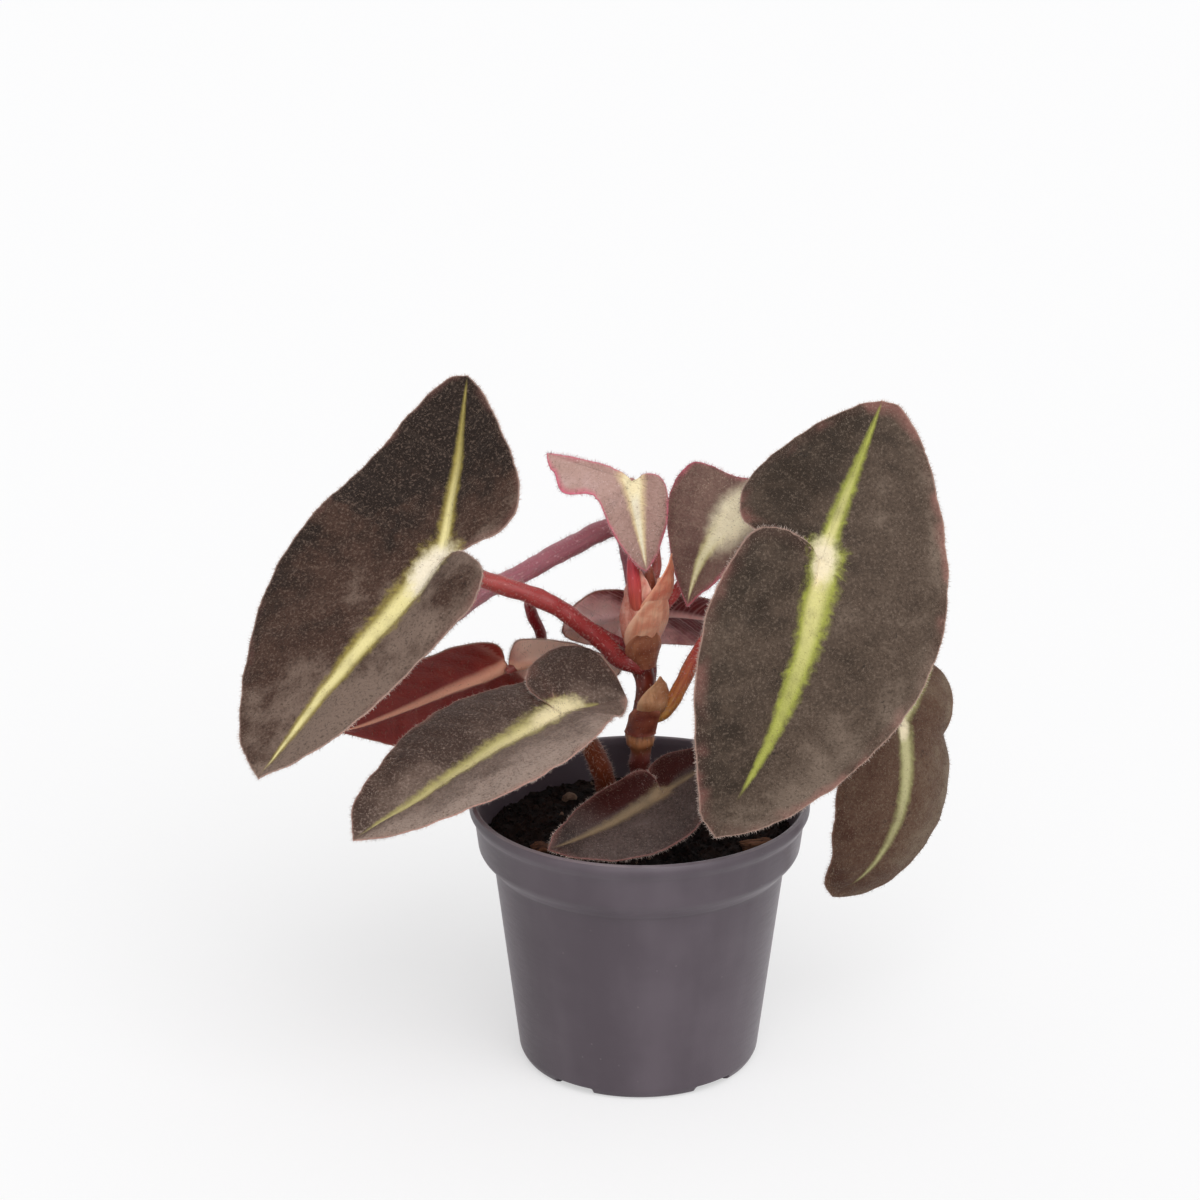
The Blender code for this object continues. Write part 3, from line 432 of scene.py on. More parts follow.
def ease(value):
    """Goes softly from 0 to 1 as value does, and stays level beyond."""
    value = np.clip(value, 0, 1)
    return value * value * (3 - 2 * value)


def bell(value, width):
    """A soft bump of unit height round 0."""
    return np.exp(-((value / width) ** 2))


def hat(value, middle, reach):
    """1 at the middle, and straight down to 0 at this reach either side of it."""
    return np.clip(1 - np.abs(value - middle) / reach, 0, 1)


def unit(vectors):
    """The same directions, each one long."""
    return vectors / np.maximum(np.linalg.norm(vectors, axis=-1), 1e-12)[..., None]


def run_along(points):
    """How far along its line each point lies."""
    return np.r_[0, np.cumsum(np.linalg.norm(np.diff(points, axis=0), axis=1))]


def curve_through(points, count):
    """count points, evenly spaced along a smooth curve through the given points."""
    points = np.array(points, float)
    padded = np.vstack([2 * points[0] - points[1], points, 2 * points[-1] - points[-2]])
    steps = np.linspace(0, 1, 16, endpoint=False)[:, None]
    fine = []
    for before, start, end, after in zip(padded, padded[1:], padded[2:], padded[3:]):
        linear = (end - before) * steps
        square = (2 * before - 5 * start + 4 * end - after) * steps**2
        cube = (3 * start - before - 3 * end + after) * steps**3
        fine.append(start + 0.5 * (linear + square + cube))
    fine = np.vstack(fine + [points[-1:]])
    lengths = run_along(fine[:, :3])
    places = np.linspace(0, lengths[-1], count)
    return np.stack([np.interp(places, lengths, column) for column in fine.T], axis=1)


def waves(places, seed, lengths):
    """A smooth uneven wave of about unit height: a sum of sines of these lengths with seeded phases."""
    rng = np.random.default_rng(seed)
    total = np.zeros(len(places))
    for length in lengths:
        total += np.sin(places * 2 * math.pi / (length * rng.uniform(0.85, 1.2)) + rng.uniform(0, 6.3))
    return total / len(lengths)


def smooth_noise(points, size, seed):
    """Soft bumps over points in space, about -1 to 1, from seeded plane waves of about this size."""
    rng = np.random.default_rng(seed)
    total = np.zeros(len(points))
    for _ in range(9):
        way = rng.normal(size=3)
        way *= rng.uniform(0.6, 1.5) * 2 * math.pi / (size * np.linalg.norm(way))
        total += np.sin(points @ way + rng.uniform(0, 6.3))
    return total / 3


def new_object(name, data):
    obj = bpy.data.objects.new(name, data)
    bpy.context.scene.collection.objects.link(obj)
    return obj


def remove(*objects):
    for obj in objects:
        bpy.data.objects.remove(obj, do_unlink=True)


def add_mesh(name, points, faces, marks=None, materials=(), kinds=None, sharp=60, closed=True, edges=()):
    """An object from millimetre points. marks holds what each point knows, for the materials and hairs."""
    mesh = bpy.data.meshes.new(name)
    mesh.from_pydata((np.asarray(points) * MM).tolist(), edges, [tuple(map(int, face)) for face in faces])
    if closed:
        shape = bmesh.new()
        shape.from_mesh(mesh)
        bmesh.ops.recalc_face_normals(shape, faces=shape.faces)
        if shape.calc_volume(signed=True) < 0:
            bmesh.ops.reverse_faces(shape, faces=shape.faces)
        shape.to_mesh(mesh)
        shape.free()
    for key, values in (marks or {}).items():
        values = np.asarray(values, np.float32)
        flat = values.ndim == 1
        layer = mesh.attributes.new(key, "FLOAT" if flat else "FLOAT_VECTOR", "POINT")
        layer.data.foreach_set("value" if flat else "vector", values.ravel())
    for material in materials:
        mesh.materials.append(material)
    if kinds is not None:
        mesh.polygons.foreach_set("material_index", np.asarray(kinds, np.int32))
    mesh.shade_smooth()
    mesh.set_sharp_from_angle(angle=math.radians(sharp))
    return new_object(name, mesh)


def settle(piece, slot, *nodes):
    """Makes a finished piece ride on the part and hides the nodes that it stands for. The slot is not used.
    """
    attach(piece, "root")
    if nodes:
        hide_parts(*nodes)


# ------------------------------------------------------------------------------------------ node helpers


class Field:
    """A value in a node tree. Sums, differences, products and quotients of it add maths nodes."""

    def __init__(self, socket):
        self.socket = socket
        self.tree = socket.id_data

    def __add__(self, other):
        return maths("ADD", self, other)

    def __sub__(self, other):
        return maths("SUBTRACT", self, other)

    def __rsub__(self, other):
        return maths("SUBTRACT", other, self)

    def __mul__(self, other):
        return maths("MULTIPLY", self, other)

    def __truediv__(self, other):
        return maths("DIVIDE", self, other)

    def __rtruediv__(self, other):
        return maths("DIVIDE", other, self)

    __radd__ = __add__
    __rmul__ = __mul__


def fill(socket, value):
    """Links a Field to an input, or gives it a plain value."""
    if isinstance(value, Field):
        value.tree.links.new(value.socket, socket)
    else:
        socket.default_value = value


def put(tree, kind, inputs=None, **settings):
    """Adds a node. inputs gives each socket, by name or number, a Field or a plain value."""
    node = tree.nodes.new(kind)
    for key, value in settings.items():
        setattr(node, key, value)
    for key, value in (inputs or {}).items():
        fill(node.inputs[key], value)
    return node


def field(tree, kind, inputs=None, output=0, **settings):
    """Adds a node and gives one of its outputs, by name or number."""
    return Field(put(tree, kind, inputs, **settings).outputs[output])


def tree_of(values):
    """The node tree that the Fields among these values are in."""
    return next(value.tree for value in values if isinstance(value, Field))


def maths(operation, *values, node="ShaderNodeMath"):
    return field(tree_of(values), node, dict(enumerate(values)), operation=operation)


def vector_maths(operation, *values):
    return maths(operation, *values, node="ShaderNodeVectorMath")


def at_least(value, limit):
    return maths("MAXIMUM", value, limit)


def hypotenuse(first, second):
    return maths("SQRT", maths("POWER", first, 2.0) + maths("POWER", second, 2.0))


def smooth_step(value, low, high, to_low=0.0, to_high=1.0):
    """A number that goes softly from to_low to to_high as value goes from low to high."""
    inputs = {"Value": value, 1: low, 2: high, 3: to_low, 4: to_high}
    return field(value.tree, "ShaderNodeMapRange", inputs, interpolation_type="SMOOTHSTEP")


def noise(vector, scale, detail=3.0, roughness=0.55, distortion=0.0, output=0):
    """Soft noise with this many bumps to a unit of the vector. Output 1 has three values at each point."""
    inputs = {"Vector": vector, "Scale": scale, "Detail": detail, "Roughness": roughness}
    return field(vector.tree, "ShaderNodeTexNoise", {**inputs, "Distortion": distortion}, output)


def cells(vector, scale):
    """Scattered cells: the distance from the middle of the nearest, and its own random colour."""
    outputs = put(vector.tree, "ShaderNodeTexVoronoi", {"Vector": vector, "Scale": scale}).outputs
    return Field(outputs["Distance"]), Field(outputs["Color"])


def parts_of(vector):
    return [Field(socket) for socket in put(vector.tree, "ShaderNodeSeparateXYZ", {0: vector}).outputs]


def stretched(vector, scale):
    return field(vector.tree, "ShaderNodeMapping", {"Vector": vector, "Scale": scale})


def rgb(red, green, blue):
    """A colour given as 0 to 255 screen values, as the linear colour that a node takes."""
    screen = np.array([red, green, blue]) / 255
    linear = np.where(screen <= 0.04045, screen / 12.92, ((screen + 0.055) / 1.055) ** 2.4)
    return (*linear, 1.0)


def toned(colour, factor, lift=0):
    """Screen values made darker or paler."""
    return [min(255, factor * part + lift) for part in colour]


def layered(colour, *layers):
    """A colour with others laid over it, each given as how much of it shows and its screen values."""
    for share, top in layers:
        under, over = (value if isinstance(value, Field) else rgb(*value) for value in (colour, top))
        inputs = {0: share, 6: under, 7: over}
        colour = field(share.tree, "ShaderNodeMix", inputs, 2, data_type="RGBA", clamp_factor=True)
    return colour


SOCKET_KINDS = {  # of node group sockets that aren't plain numbers
    "Vector": "Vector", "Front": "Vector", "Back": "Vector", "Geometry": "Geometry", "Material": "Material",
    "Seed": "Int", "Roundness": "Int",
}


def new_group(name, kind, inputs, outputs):
    """A node group of this kind, its inputs by name and the sockets of its outputs."""
    tree = bpy.data.node_groups.new(name, kind)
    for side, keys in (("INPUT", inputs), ("OUTPUT", outputs)):
        for key in keys:
            socket_type = "NodeSocket" + SOCKET_KINDS.get(key, "Float")
            tree.interface.new_socket(name=key, in_out=side, socket_type=socket_type)
    source = tree.nodes.new("NodeGroupInput").outputs
    given = {key: Field(source[key]) for key in inputs}
    return tree, given, tree.nodes.new("NodeGroupOutput").inputs


def effect(name, inputs, outputs):
    """Makes a shader node group of the values that the decorated function works out from its inputs."""

    def make(work_out):
        tree, given, out = new_group(name, "ShaderNodeTree", inputs, outputs)
        for key, value in zip(outputs, work_out(*given.values())):
            fill(out[key], value)
        return tree

    return make


def use(group, **inputs):
    """Places a shader node group and gives its outputs. An input's name has _ for each space."""
    node = put(tree_of(inputs.values()), "ShaderNodeGroup", node_tree=group)
    for key, value in inputs.items():
        fill(node.inputs[key.replace("_", " ")], value)
    return {socket.name: Field(socket) for socket in node.outputs}


def new_material(name, **constants):
    """A material with a Principled shader whose constant values are given by socket name."""
    material = bpy.data.materials.new(name)
    material.use_nodes = True
    for key, value in constants.items():
        fill(material.node_tree.nodes["Principled BSDF"].inputs[key.replace("_", " ")], value)
    return material


def painted(material, colour, roughness=None, height=None, distance=0.0001, strength=1.0):
    """Gives a material its colour, its roughness and its fine relief."""
    inputs = material.node_tree.nodes["Principled BSDF"].inputs
    fill(inputs["Base Color"], colour)
    if roughness is not None:
        fill(inputs["Roughness"], roughness)
    if height is not None:
        relief = {"Height": height, "Strength": strength, "Distance": distance}
        fill(inputs["Normal"], field(material.node_tree, "ShaderNodeBump", relief))
    return material


def object_place(material):
    """The place of each point of the surface, in metres in the part's frame."""
    return field(material.node_tree, "ShaderNodeTexCoord", output="Object")


def mark(material, name, output="Vector"):
    """What the points of a mesh carry under this name."""
    return field(material.node_tree, "ShaderNodeAttribute", output=output, attribute_name=name)


# --------------------------------------------------------------------------------- shared surface effects


@effect("velvet", ("Vector", "Cell"), ("Points", "Tone", "Grain", "Height"))
def velvet_cells(vector, cell):
    """Tiny raised cells, each with a pale point, as on a velvety leaf, and softer blotches of tone."""
    scale = 1.0 / cell
    warp = vector_maths("MULTIPLY", noise(vector, 900.0, 1.0, 0.5, output=1), (0.0004, 0.0004, 0.0004))
    distance, colour = cells(vector_maths("ADD", vector, warp), scale)
    chosen = smooth_step(parts_of(colour)[0], 0.30, 0.95)
    patches = smooth_step(noise(vector, 170.0, 4.0, 0.65), 0.40, 0.64, 0.12, 1.0)
    points = smooth_step(distance, 0.46, 0.12) * chosen * patches
    return points, noise(vector, 260.0, 4.0, 0.62), noise(vector, 2100.0, 2.0, 0.6), 1.0 - distance


def stripe_band(vector, fray, branch, length, width, power, bow, core_end):
    """The stripe along one vein and its paler core. The vein runs along X from the junction."""
    x, y, _ = parts_of(vector)
    ahead = x / length
    hump = at_least(ahead * (1.0 - ahead) * 4.0, 0.0)
    left = maths("POWER", at_least(1.0 - ahead, 0.0), power)
    half = width * left
    away = hypotenuse(y - hump * bow, maths("MINIMUM", x, 0.0))
    reach = half + branch * half * 0.16 + fray * (half * 0.75)
    edge = smooth_step((reach - away) / (0.2 + half * 0.42), -1.0, 1.0)
    core = smooth_step(away / at_least(half, 0.05), 0.9, 0.15)
    fading = smooth_step(ahead, 0.05, 0.75, 1.0, core_end)
    return edge * smooth_step(left, 0.0, 0.10), core * fading


@effect(
    "stripe",
    ("Front", "Back", "Vector", "Reach", "Lobe", "Width", "Lobe Width", "Vein", "Bow", "Heart Size",
     "Heart Ahead", "Core End", "Fray"),
    ("Stripe", "Core", "Heart"),
)
def vein_stripe(front, back, vector, reach, lobe, width, lobe_width, vein, bow, size, ahead, core_end, fray):
    """The pale stripe along a blade's main veins, widest at their junction, with frayed soft edges. The
    palest spot, the heart, has a size of its own and lies some way ahead of the junction."""
    fray = (noise(vector, 700.0, 5.0, 0.7) - 0.5) * fray
    branch = smooth_step(vein, 0.2, 1.0)
    stripe, core = stripe_band(front, fray, branch, reach, width, 1.05, bow, core_end)
    lobe_stripe, lobe_core = stripe_band(back, fray, branch, lobe, lobe_width, 0.9, 0.0, 0.1)
    x, y, _ = parts_of(front)
    far = hypotenuse((x - ahead) * 0.75, y * 1.3) / (width * size) - fray * 0.5
    return at_least(stripe, lobe_stripe), at_least(core, lobe_core), smooth_step(far, 1.5, 0.55)


@effect("side_veins", ("Count", "Vector", "Width"), ("Line",))
def side_veins(count, vector, width):
    """Thin side veins, one at each whole number of the vein count that a blade's points carry."""
    count = count + (noise(vector, 180.0, 2.0) - 0.5) * 0.30
    off = maths("ABSOLUTE", count - maths("ROUND", count))
    return (smooth_step(off, width, 0.0),)


@effect("margin_band", ("Distance", "Width", "Vector"), ("Band",))
def margin_band(distance, width, vector):
    """A band along a blade's margin that comes and goes in width."""
    uneven = noise(vector, 120.0, 3.0) * 2.0
    return (smooth_step(distance / (width * uneven), 1.0, 0.05),)


@effect("fibres", ("Vector",), ("Fibre", "Flecks", "Height"))
def skin_fibres(vector):
    """Fine lengthwise fibres and small flecks, as on a stalk or a bract. Vector is along the skin, in mm."""
    long = noise(stretched(vector, (1.0, 1.0, 0.07)), 2.4, 4.0, 0.6)
    distance, colour = cells(stretched(vector, (1, 1, 0.55)), 1.7)
    flecks = smooth_step(distance, 0.34, 0.14) * smooth_step(parts_of(colour)[1], 0.6, 0.75)
    return smooth_step(long, 0.36, 0.66), flecks, long + flecks * 0.4


# --------------------------------------------------------------------------------------------- materials


def make_blade_material(name, leaf):
    """The velvety upper side of a blade: uneven bronze, a reddish margin, faint veins and the stripe."""
    tint = leaf.tint
    material = new_material(
        name + "_upper", Sheen_Weight=0.08, Sheen_Roughness=0.4, Sheen_Tint=rgb(232, 214, 206),
        Specular_IOR_Level=0.2,
    )
    place, front, back = object_place(material), mark(material, "front"), mark(material, "back")
    along, across, edge = parts_of(mark(material, "spread"))
    velvet = use(velvet_cells, Vector=place, Cell=0.00034)
    grain = velvet["Grain"]
    veins = use(side_veins, Count=parts_of(front)[2], Vector=place, Width=0.13)["Line"]
    tone = noise(place, 70.0, 3.0, 0.6, 0.4) * 0.75 + velvet["Tone"] * 0.4
    # The tip and side shifts paint light and shade across the blade.
    tone = tone + along * tint.tip_light_shift - across * tint.side_light_shift
    grainy = 1 - 0.65 * tint.young
    # Clusters of small dark flecks, in patches.
    dark_fleck_share = smooth_step(noise(place, 120.0, 2.0), 0.60, 0.72, 0.0, 0.6 * tint.frosted * (1 - tint.young))
    band = use(margin_band, Distance=edge, Width=tint.blush_width, Vector=place)["Band"]
    patch = smooth_step(noise(place, 110.0, 2.0), 0.46, 0.62, 0.12, 1.0)
    frost = smooth_step(edge, 6.0, 0.3, 0.22 * tint.frosted, 0.5 * tint.frosted)
    stripe = use(
        vein_stripe, Front=front, Back=back, Vector=place, Reach=leaf.reach * tint.stripe_end,
        Lobe=leaf.lobe * tint.lobe_end, Width=tint.stripe_width, Lobe_Width=tint.lobe_width, Vein=veins,
        Bow=tint.stripe_bow, Heart_Size=tint.heart_size, Heart_Ahead=tint.heart_ahead,
        Core_End=tint.core_end, Fray=2.0 - 1.4 * tint.young,
    )
    mottle = smooth_step(velvet["Tone"], 0.45, 0.75, 0.0, 0.3)
    stripe_colour = layered(tint.stripe, (stripe["Core"], tint.stripe_core), (mottle, tint.middle))
    layers = [
        (smooth_step(tone, 0.38, 0.62), tint.middle),
        (smooth_step(tone, 0.60, 0.86), tint.pale),
        (smooth_step(grain, 0.52, 0.70, 0.0, 0.44 * grainy), tint.pale),
        (smooth_step(grain, 0.48, 0.32, 0.0, 0.5 * grainy), tint.deep),
        (veins * 0.05, tint.pale),
        (smooth_step(noise(place, 1500.0, 2.0), 0.44, 0.34) * dark_fleck_share, toned(tint.deep, 0.35)),
    ]
    if tint.small_lobe:
        narrow = smooth_step(across, -0.05, -0.3) * smooth_step(along, 0.8, 0.35)
        layers.append((narrow, tint.small_lobe))
    layers += [
        (band * patch * tint.blush_share, tint.blush),
        (smooth_step(edge, 0.35, 0.05, 0.0, 0.6), tint.edge),
        (velvet["Points"] * frost, toned(tint.pale, 1.15, 30)),
        (stripe["Stripe"] * 0.95, stripe_colour),
        (stripe["Heart"], tint.heart),
    ]
    rough = 0.62 - velvet["Points"] * 0.14
    height = velvet["Height"] + veins * -0.45 + grain
    return painted(material, layered(tint.deep, *layers), rough, height, 0.00010, 0.9)


def make_underside_material(name, leaf):
    """The red underside of a blade, with its raised paler veins."""
    tint = leaf.tint
    material = new_material(
        name + "_under", Sheen_Weight=0.08, Sheen_Roughness=0.4, Sheen_Tint=rgb(240, 214, 208),
        Specular_IOR_Level=0.35, Subsurface_Weight=0.35, Subsurface_Radius=(0.0016, 0.0006, 0.0005),
        Subsurface_Scale=1.0,
    )
    place, front, back = object_place(material), mark(material, "front"), mark(material, "back")
    along, across, edge = parts_of(mark(material, "spread"))
    velvet = use(velvet_cells, Vector=place, Cell=0.0005)
    count = parts_of(front)[2]
    veins = use(side_veins, Count=count, Vector=place, Width=0.10)["Line"]
    fine = use(side_veins, Count=count * 4.0, Vector=place, Width=0.30)["Line"]
    tone = noise(place, 90.0, 3.0, 0.6) * 0.7 + velvet["Tone"] * 0.35
    # The tip and side shifts paint light and shade across the underside.
    tone = tone + along * tint.tip_light_shift - across * tint.side_light_shift
    stripe = use(
        vein_stripe, Front=front, Back=back, Vector=place, Reach=leaf.reach, Lobe=leaf.lobe,
        Width=tint.under_stripe, Lobe_Width=0.8 * tint.under_stripe, Vein=0.0, Bow=0.0, Heart_Size=1.0,
        Heart_Ahead=0.0, Core_End=0.8, Fray=2.0,
    )
    layers = [
        (smooth_step(tone, 0.42, 0.85), tint.under_pale),
        (fine * (0.6 * tint.under_veins), tint.under_pale),
        (veins * tint.under_veins, tint.under_rib),
    ]
    if tint.under_lobe:
        layers.append((smooth_step(along, 0.08, -0.22, 0.0, 0.85), tint.under_lobe))
    layers += [(stripe["Core"] * 0.9, tint.under_rib), (smooth_step(edge, 0.5, 0.05, 0.0, 0.85), tint.edge)]
    height = velvet["Height"] + veins * min(1.6, 6.0 * tint.under_veins)
    return painted(material, layered(tint.under, *layers), 0.5, height, 0.00010, 0.7)


def make_stalk_material(name, colours, rough=0.42, streaks=0.06):
    """A fleshy stalk whose colour changes along it, with fibres and flecks in its skin."""
    material = new_material(
        name + "_skin", Subsurface_Weight=0.18, Subsurface_Radius=(0.0012, 0.0004, 0.0003),
        Subsurface_Scale=1.0, Specular_IOR_Level=0.45,
    )
    fibres = use(skin_fibres, Vector=mark(material, "skin"))
    share = mark(material, "share", "Fac") + fibres["Fibre"] * streaks
    ramp = put(material.node_tree, "ShaderNodeValToRGB", {0: share})
    elements = ramp.color_ramp.elements
    while len(elements) < len(colours):
        elements.new(0.5)
    for element, where, shade in zip(elements, np.linspace(0.04, 1, len(colours)), colours):
        element.position = float(where)
        element.color = rgb(*shade)
    colour = layered(
        Field(ramp.outputs[0]),
        (fibres["Fibre"] * 0.35, toned(colours[1], 0.62)),
        (fibres["Flecks"] * 0.4, toned(colours[-1], 0.65, 96)),
    )
    return painted(material, colour, rough, fibres["Height"], 0.00012, 0.6)


def make_bract_material(name, main, pale):
    """A papery bract: translucent tan, with dark lengthwise veins and a pale edge."""
    material = new_material(
        name + "_paper", Subsurface_Weight=0.25, Subsurface_Radius=(0.0015, 0.0007, 0.0005),
        Subsurface_Scale=1.0, Specular_IOR_Level=0.35,
    )
    skin = mark(material, "skin")
    fibres = use(skin_fibres, Vector=skin)
    colour = layered(
        main,
        (smooth_step(noise(skin, 0.40, 3.0), 0.36, 0.66), pale),
        (fibres["Fibre"] * 0.26, toned(main, 0.72)),
        (fibres["Flecks"] * 0.15, toned(main, 0.72)),
        (smooth_step(mark(material, "share", "Fac"), 0.35, 0.0, 0.0, 0.6), toned(pale, 1, 30)),
    )
    return painted(material, colour, 0.5, fibres["Height"], 0.00007, 0.6)


def make_hair_material(name, colour):
    """Fine pale hairs, a little dimmer in patches."""
    material = new_material(name, Roughness=0.5, Specular_IOR_Level=0.4)
    patchy = smooth_step(noise(object_place(material), 160.0, 2.0), 0.35, 0.65)
    return painted(material, layered(toned(colour, 0.78), (patchy, colour)))


def make_pot_material():
    """Recycled grey plastic: a satin skin with faint flow marks, scuffs, a painted highlight on its upward
    faces and a line of painted shade in the crease under its rim band.
    """
    material = new_material(
        "pot_plastic", Specular_IOR_Level=0.5, Sheen_Weight=0.35, Sheen_Roughness=0.3,
        Sheen_Tint=rgb(236, 230, 236),
    )
    place = object_place(material)
    cloud = noise(place, 38.0, 4.0, 0.6)
    shade = noise(stretched(place, (1.0, 1.0, 0.12)), 90.0, 3.0) * 0.45 + cloud * 0.55
    distance, grain_colour = cells(place, 620.0)
    dust = smooth_step(distance, 0.16, 0.06) * smooth_step(parts_of(grain_colour)[0], 0.86, 0.93)
    up = parts_of(field(material.node_tree, "ShaderNodeNewGeometry", output="Normal"))[2]
    # Painted highlight: the upward faces of the rim are lighter, in patches.
    lit_ledge = smooth_step(up, 0.45, 0.95) * smooth_step(cloud, 0.35, 0.6)
    # Painted shade: a thin darker line along the crease under the rim band.
    off_shaded_crease = maths("ABSOLUTE", parts_of(place)[2] - SHADED_CREASE_HEIGHT * MM)
    colour = layered(
        (80, 70, 78),
        (smooth_step(shade, 0.38, 0.64), (95, 85, 93)),
        (dust * 0.35, (128, 120, 122)),
        (lit_ledge * 0.75, (140, 130, 134)),
        (smooth_step(off_shaded_crease, 0.0004, 0.0001, 0.0, 0.18), (58, 52, 57)),
    )
    scratches = noise(stretched(place, (1.0, 1.0, 9.0)), 260.0, 5.0, 0.7)
    rough = smooth_step(scratches, 0.25, 0.8, 0.32, 0.46)
    return painted(material, colour, rough, noise(place, 2600.0, 2.0) + scratches * 0.5, 0.00003, 0.5)


def make_soil_material(name, dark, light):
    """Damp peat: nearly black, with brown fibres and crumbs."""
    material = new_material(name, Specular_IOR_Level=0.25)
    place = object_place(material)
    fibre = noise(stretched(place, (1.0, 5.0, 2.0)), 500.0, 3.0)
    colour = layered(
        dark,
        (smooth_step(noise(place, 420.0, 6.0, 0.7), 0.40, 0.72), light),
        (smooth_step(fibre, 0.66, 0.78, 0.0, 0.5), (92, 58, 40)),
    )
    return painted(material, colour, 0.95, noise(place, 1500.0, 5.0, 0.7), 0.0006, 0.8)


def make_bark_material():
    """Dry bark: brown, with a coarse grain across the chip."""
    material = new_material("bark", Specular_IOR_Level=0.3, Roughness=0.85)
    grain = noise(stretched(object_place(material), (1.0, 4.5, 3.0)), 380.0, 5.0, 0.65)
    colour = layered((58, 34, 24), (smooth_step(grain, 0.35, 0.68), (138, 96, 68)))
    return painted(material, colour, None, grain, 0.0004, 0.9)


def make_perlite_material():
    """A perlite grain: pitted, and stained by the peat."""
    material = new_material("perlite_white", Specular_IOR_Level=0.3, Roughness=0.9)
    place = object_place(material)
    stain = smooth_step(noise(place, 500.0, 3.0), 0.42, 0.7)
    colour = layered((132, 112, 96), (stain, (92, 70, 56)))
    return painted(material, colour, None, cells(place, 2400.0)[0], 0.0003, 0.8)


# ------------------------------------------------------------------------------------ hairs and crumbs


HAIR_INPUTS = ("Length", "Thickness", "Bend", "Spread", "Seed", "Material")
# How the hairs grow on each kind of surface: their number on a square metre or their spacing in metres
# along a margin, how far they lean, their size in metres, how they bend and how far their directions stray
HAIRS = {
    "upper": {"Density": 2.1e6, "Lean": 0.6, "Length": 0.00046, "Thickness": 0.000034, "Bend": 0.35,
              "Spread": 0.45},
    "under": {"Density": 0.5e6, "Lean": 0.5, "Length": 0.0006, "Thickness": 0.000034, "Bend": 0.35,
              "Spread": 0.5},
    "margin": {"Spacing": 0.00012, "Length": 0.00062, "Thickness": 0.000042, "Bend": 0.4, "Spread": 0.8},
    "stem": {"Density": 1.2e6, "Lean": 0.2, "Length": 0.0005, "Thickness": 0.00003, "Bend": 0.3,
             "Spread": 0.6},
    "petiole": {"Density": 3.2e6, "Lean": 0.1, "Length": 0.00075, "Thickness": 0.00003, "Bend": 0.4,
                "Spread": 0.55},
    "bract": {"Density": 1.6e6, "Lean": 0.7, "Length": 0.0005, "Thickness": 0.000028, "Bend": 0.3,
              "Spread": 0.5},
}
FULL_TURN = 6.283


def enabled(sockets):
    return {socket.name: socket for socket in sockets if socket.enabled}


def random_value(kind, low, high, seed, offset):
    """A random number or vector for each point. offset keeps the draws of one seed apart."""
    node = put(seed.tree, "FunctionNodeRandomValue", data_type=kind)
    for key, value in (("Min", low), ("Max", high), ("Seed", seed + float(offset))):
        fill(enabled(node.inputs)[key], value)
    return Field(enabled(node.outputs)["Value"])


def named_value(tree, name, kind):
    node = put(tree, "GeometryNodeInputNamedAttribute", {"Name": name}, data_type=kind)
    return Field(enabled(node.outputs)["Attribute"])


def combined(tree, parts):
    return field(tree, "ShaderNodeCombineXYZ", parts)


def scaled(vector, factor):
    inputs = {0: vector, "Scale": factor}
    return field(vector.tree, "ShaderNodeVectorMath", inputs, operation="SCALE")


def scattered(mesh, density, seed):
    """Random points on a mesh and the way it faces there."""
    inputs = {"Mesh": mesh, "Density": density, "Seed": seed}
    outputs = put(mesh.tree, "GeometryNodeDistributePointsOnFaces", inputs).outputs
    return Field(outputs[0]), Field(outputs["Normal"])


def copied(points, shape, turn, size):
    """A copy of a shape on each point, as plain mesh."""
    inputs = {"Points": points, "Instance": shape, "Rotation": turn, "Scale": size}
    placed = field(points.tree, "GeometryNodeInstanceOnPoints", inputs)
    return field(points.tree, "GeometryNodeRealizeInstances", {0: placed})


def moved(geometry, offset):
    return field(geometry.tree, "GeometryNodeSetPosition", {"Geometry": geometry, "Offset": offset})


def covered(geometry, material):
    inputs = {"Geometry": geometry, "Material": material}
    return field(geometry.tree, "GeometryNodeSetMaterial", inputs)


def plant_hairs(given, points, direction):
    """Sets a thin bent cone on each point, along direction give or take some spread."""
    tree, length, spread, seed = points.tree, given["Length"], given["Spread"], given["Seed"]
    inputs = {"Vertices": 3, "Side Segments": 2, "Radius Top": 0.0, "Radius Bottom": given["Thickness"]}
    cone = field(tree, "GeometryNodeMeshCone", {**inputs, "Depth": length}, fill_type="NGON")
    share = parts_of(field(tree, "GeometryNodeInputPosition"))[2] / length
    hair = moved(cone, combined(tree, {0: maths("POWER", share, 2.0) * (length * given["Bend"])}))
    low, high = (combined(tree, dict.fromkeys(range(3), limit)) for limit in (spread * -1.0, spread))
    way = vector_maths("ADD", direction, random_value("FLOAT_VECTOR", low, high, seed, 1))
    aligned = field(tree, "FunctionNodeAlignRotationToVector", {"Vector": way}, axis="Z")
    spin = combined(tree, {2: random_value("FLOAT", 0.0, FULL_TURN, seed, 2)})
    turn = field(tree, "FunctionNodeRotateRotation", {0: aligned, 1: spin}, rotation_space="LOCAL")
    size = random_value("FLOAT", 0.45, 1.25, seed, 3)
    return covered(copied(points, hair, turn, size), given["Material"])


def make_down_tree():
    """Hairs spread over a surface, leaning the way that its points carry."""
    inputs = ("Geometry", "Density", "Lean", *HAIR_INPUTS)
    tree, given, out = new_group("down", "GeometryNodeTree", inputs, ("Geometry",))
    density = given["Density"] * named_value(tree, "hairy", "FLOAT")
    points, normal = scattered(given["Geometry"], density, given["Seed"])
    flow = scaled(named_value(tree, "flow", "FLOAT_VECTOR"), given["Lean"])
    fill(out[0], plant_hairs(given, points, vector_maths("ADD", normal, flow)))
    return tree


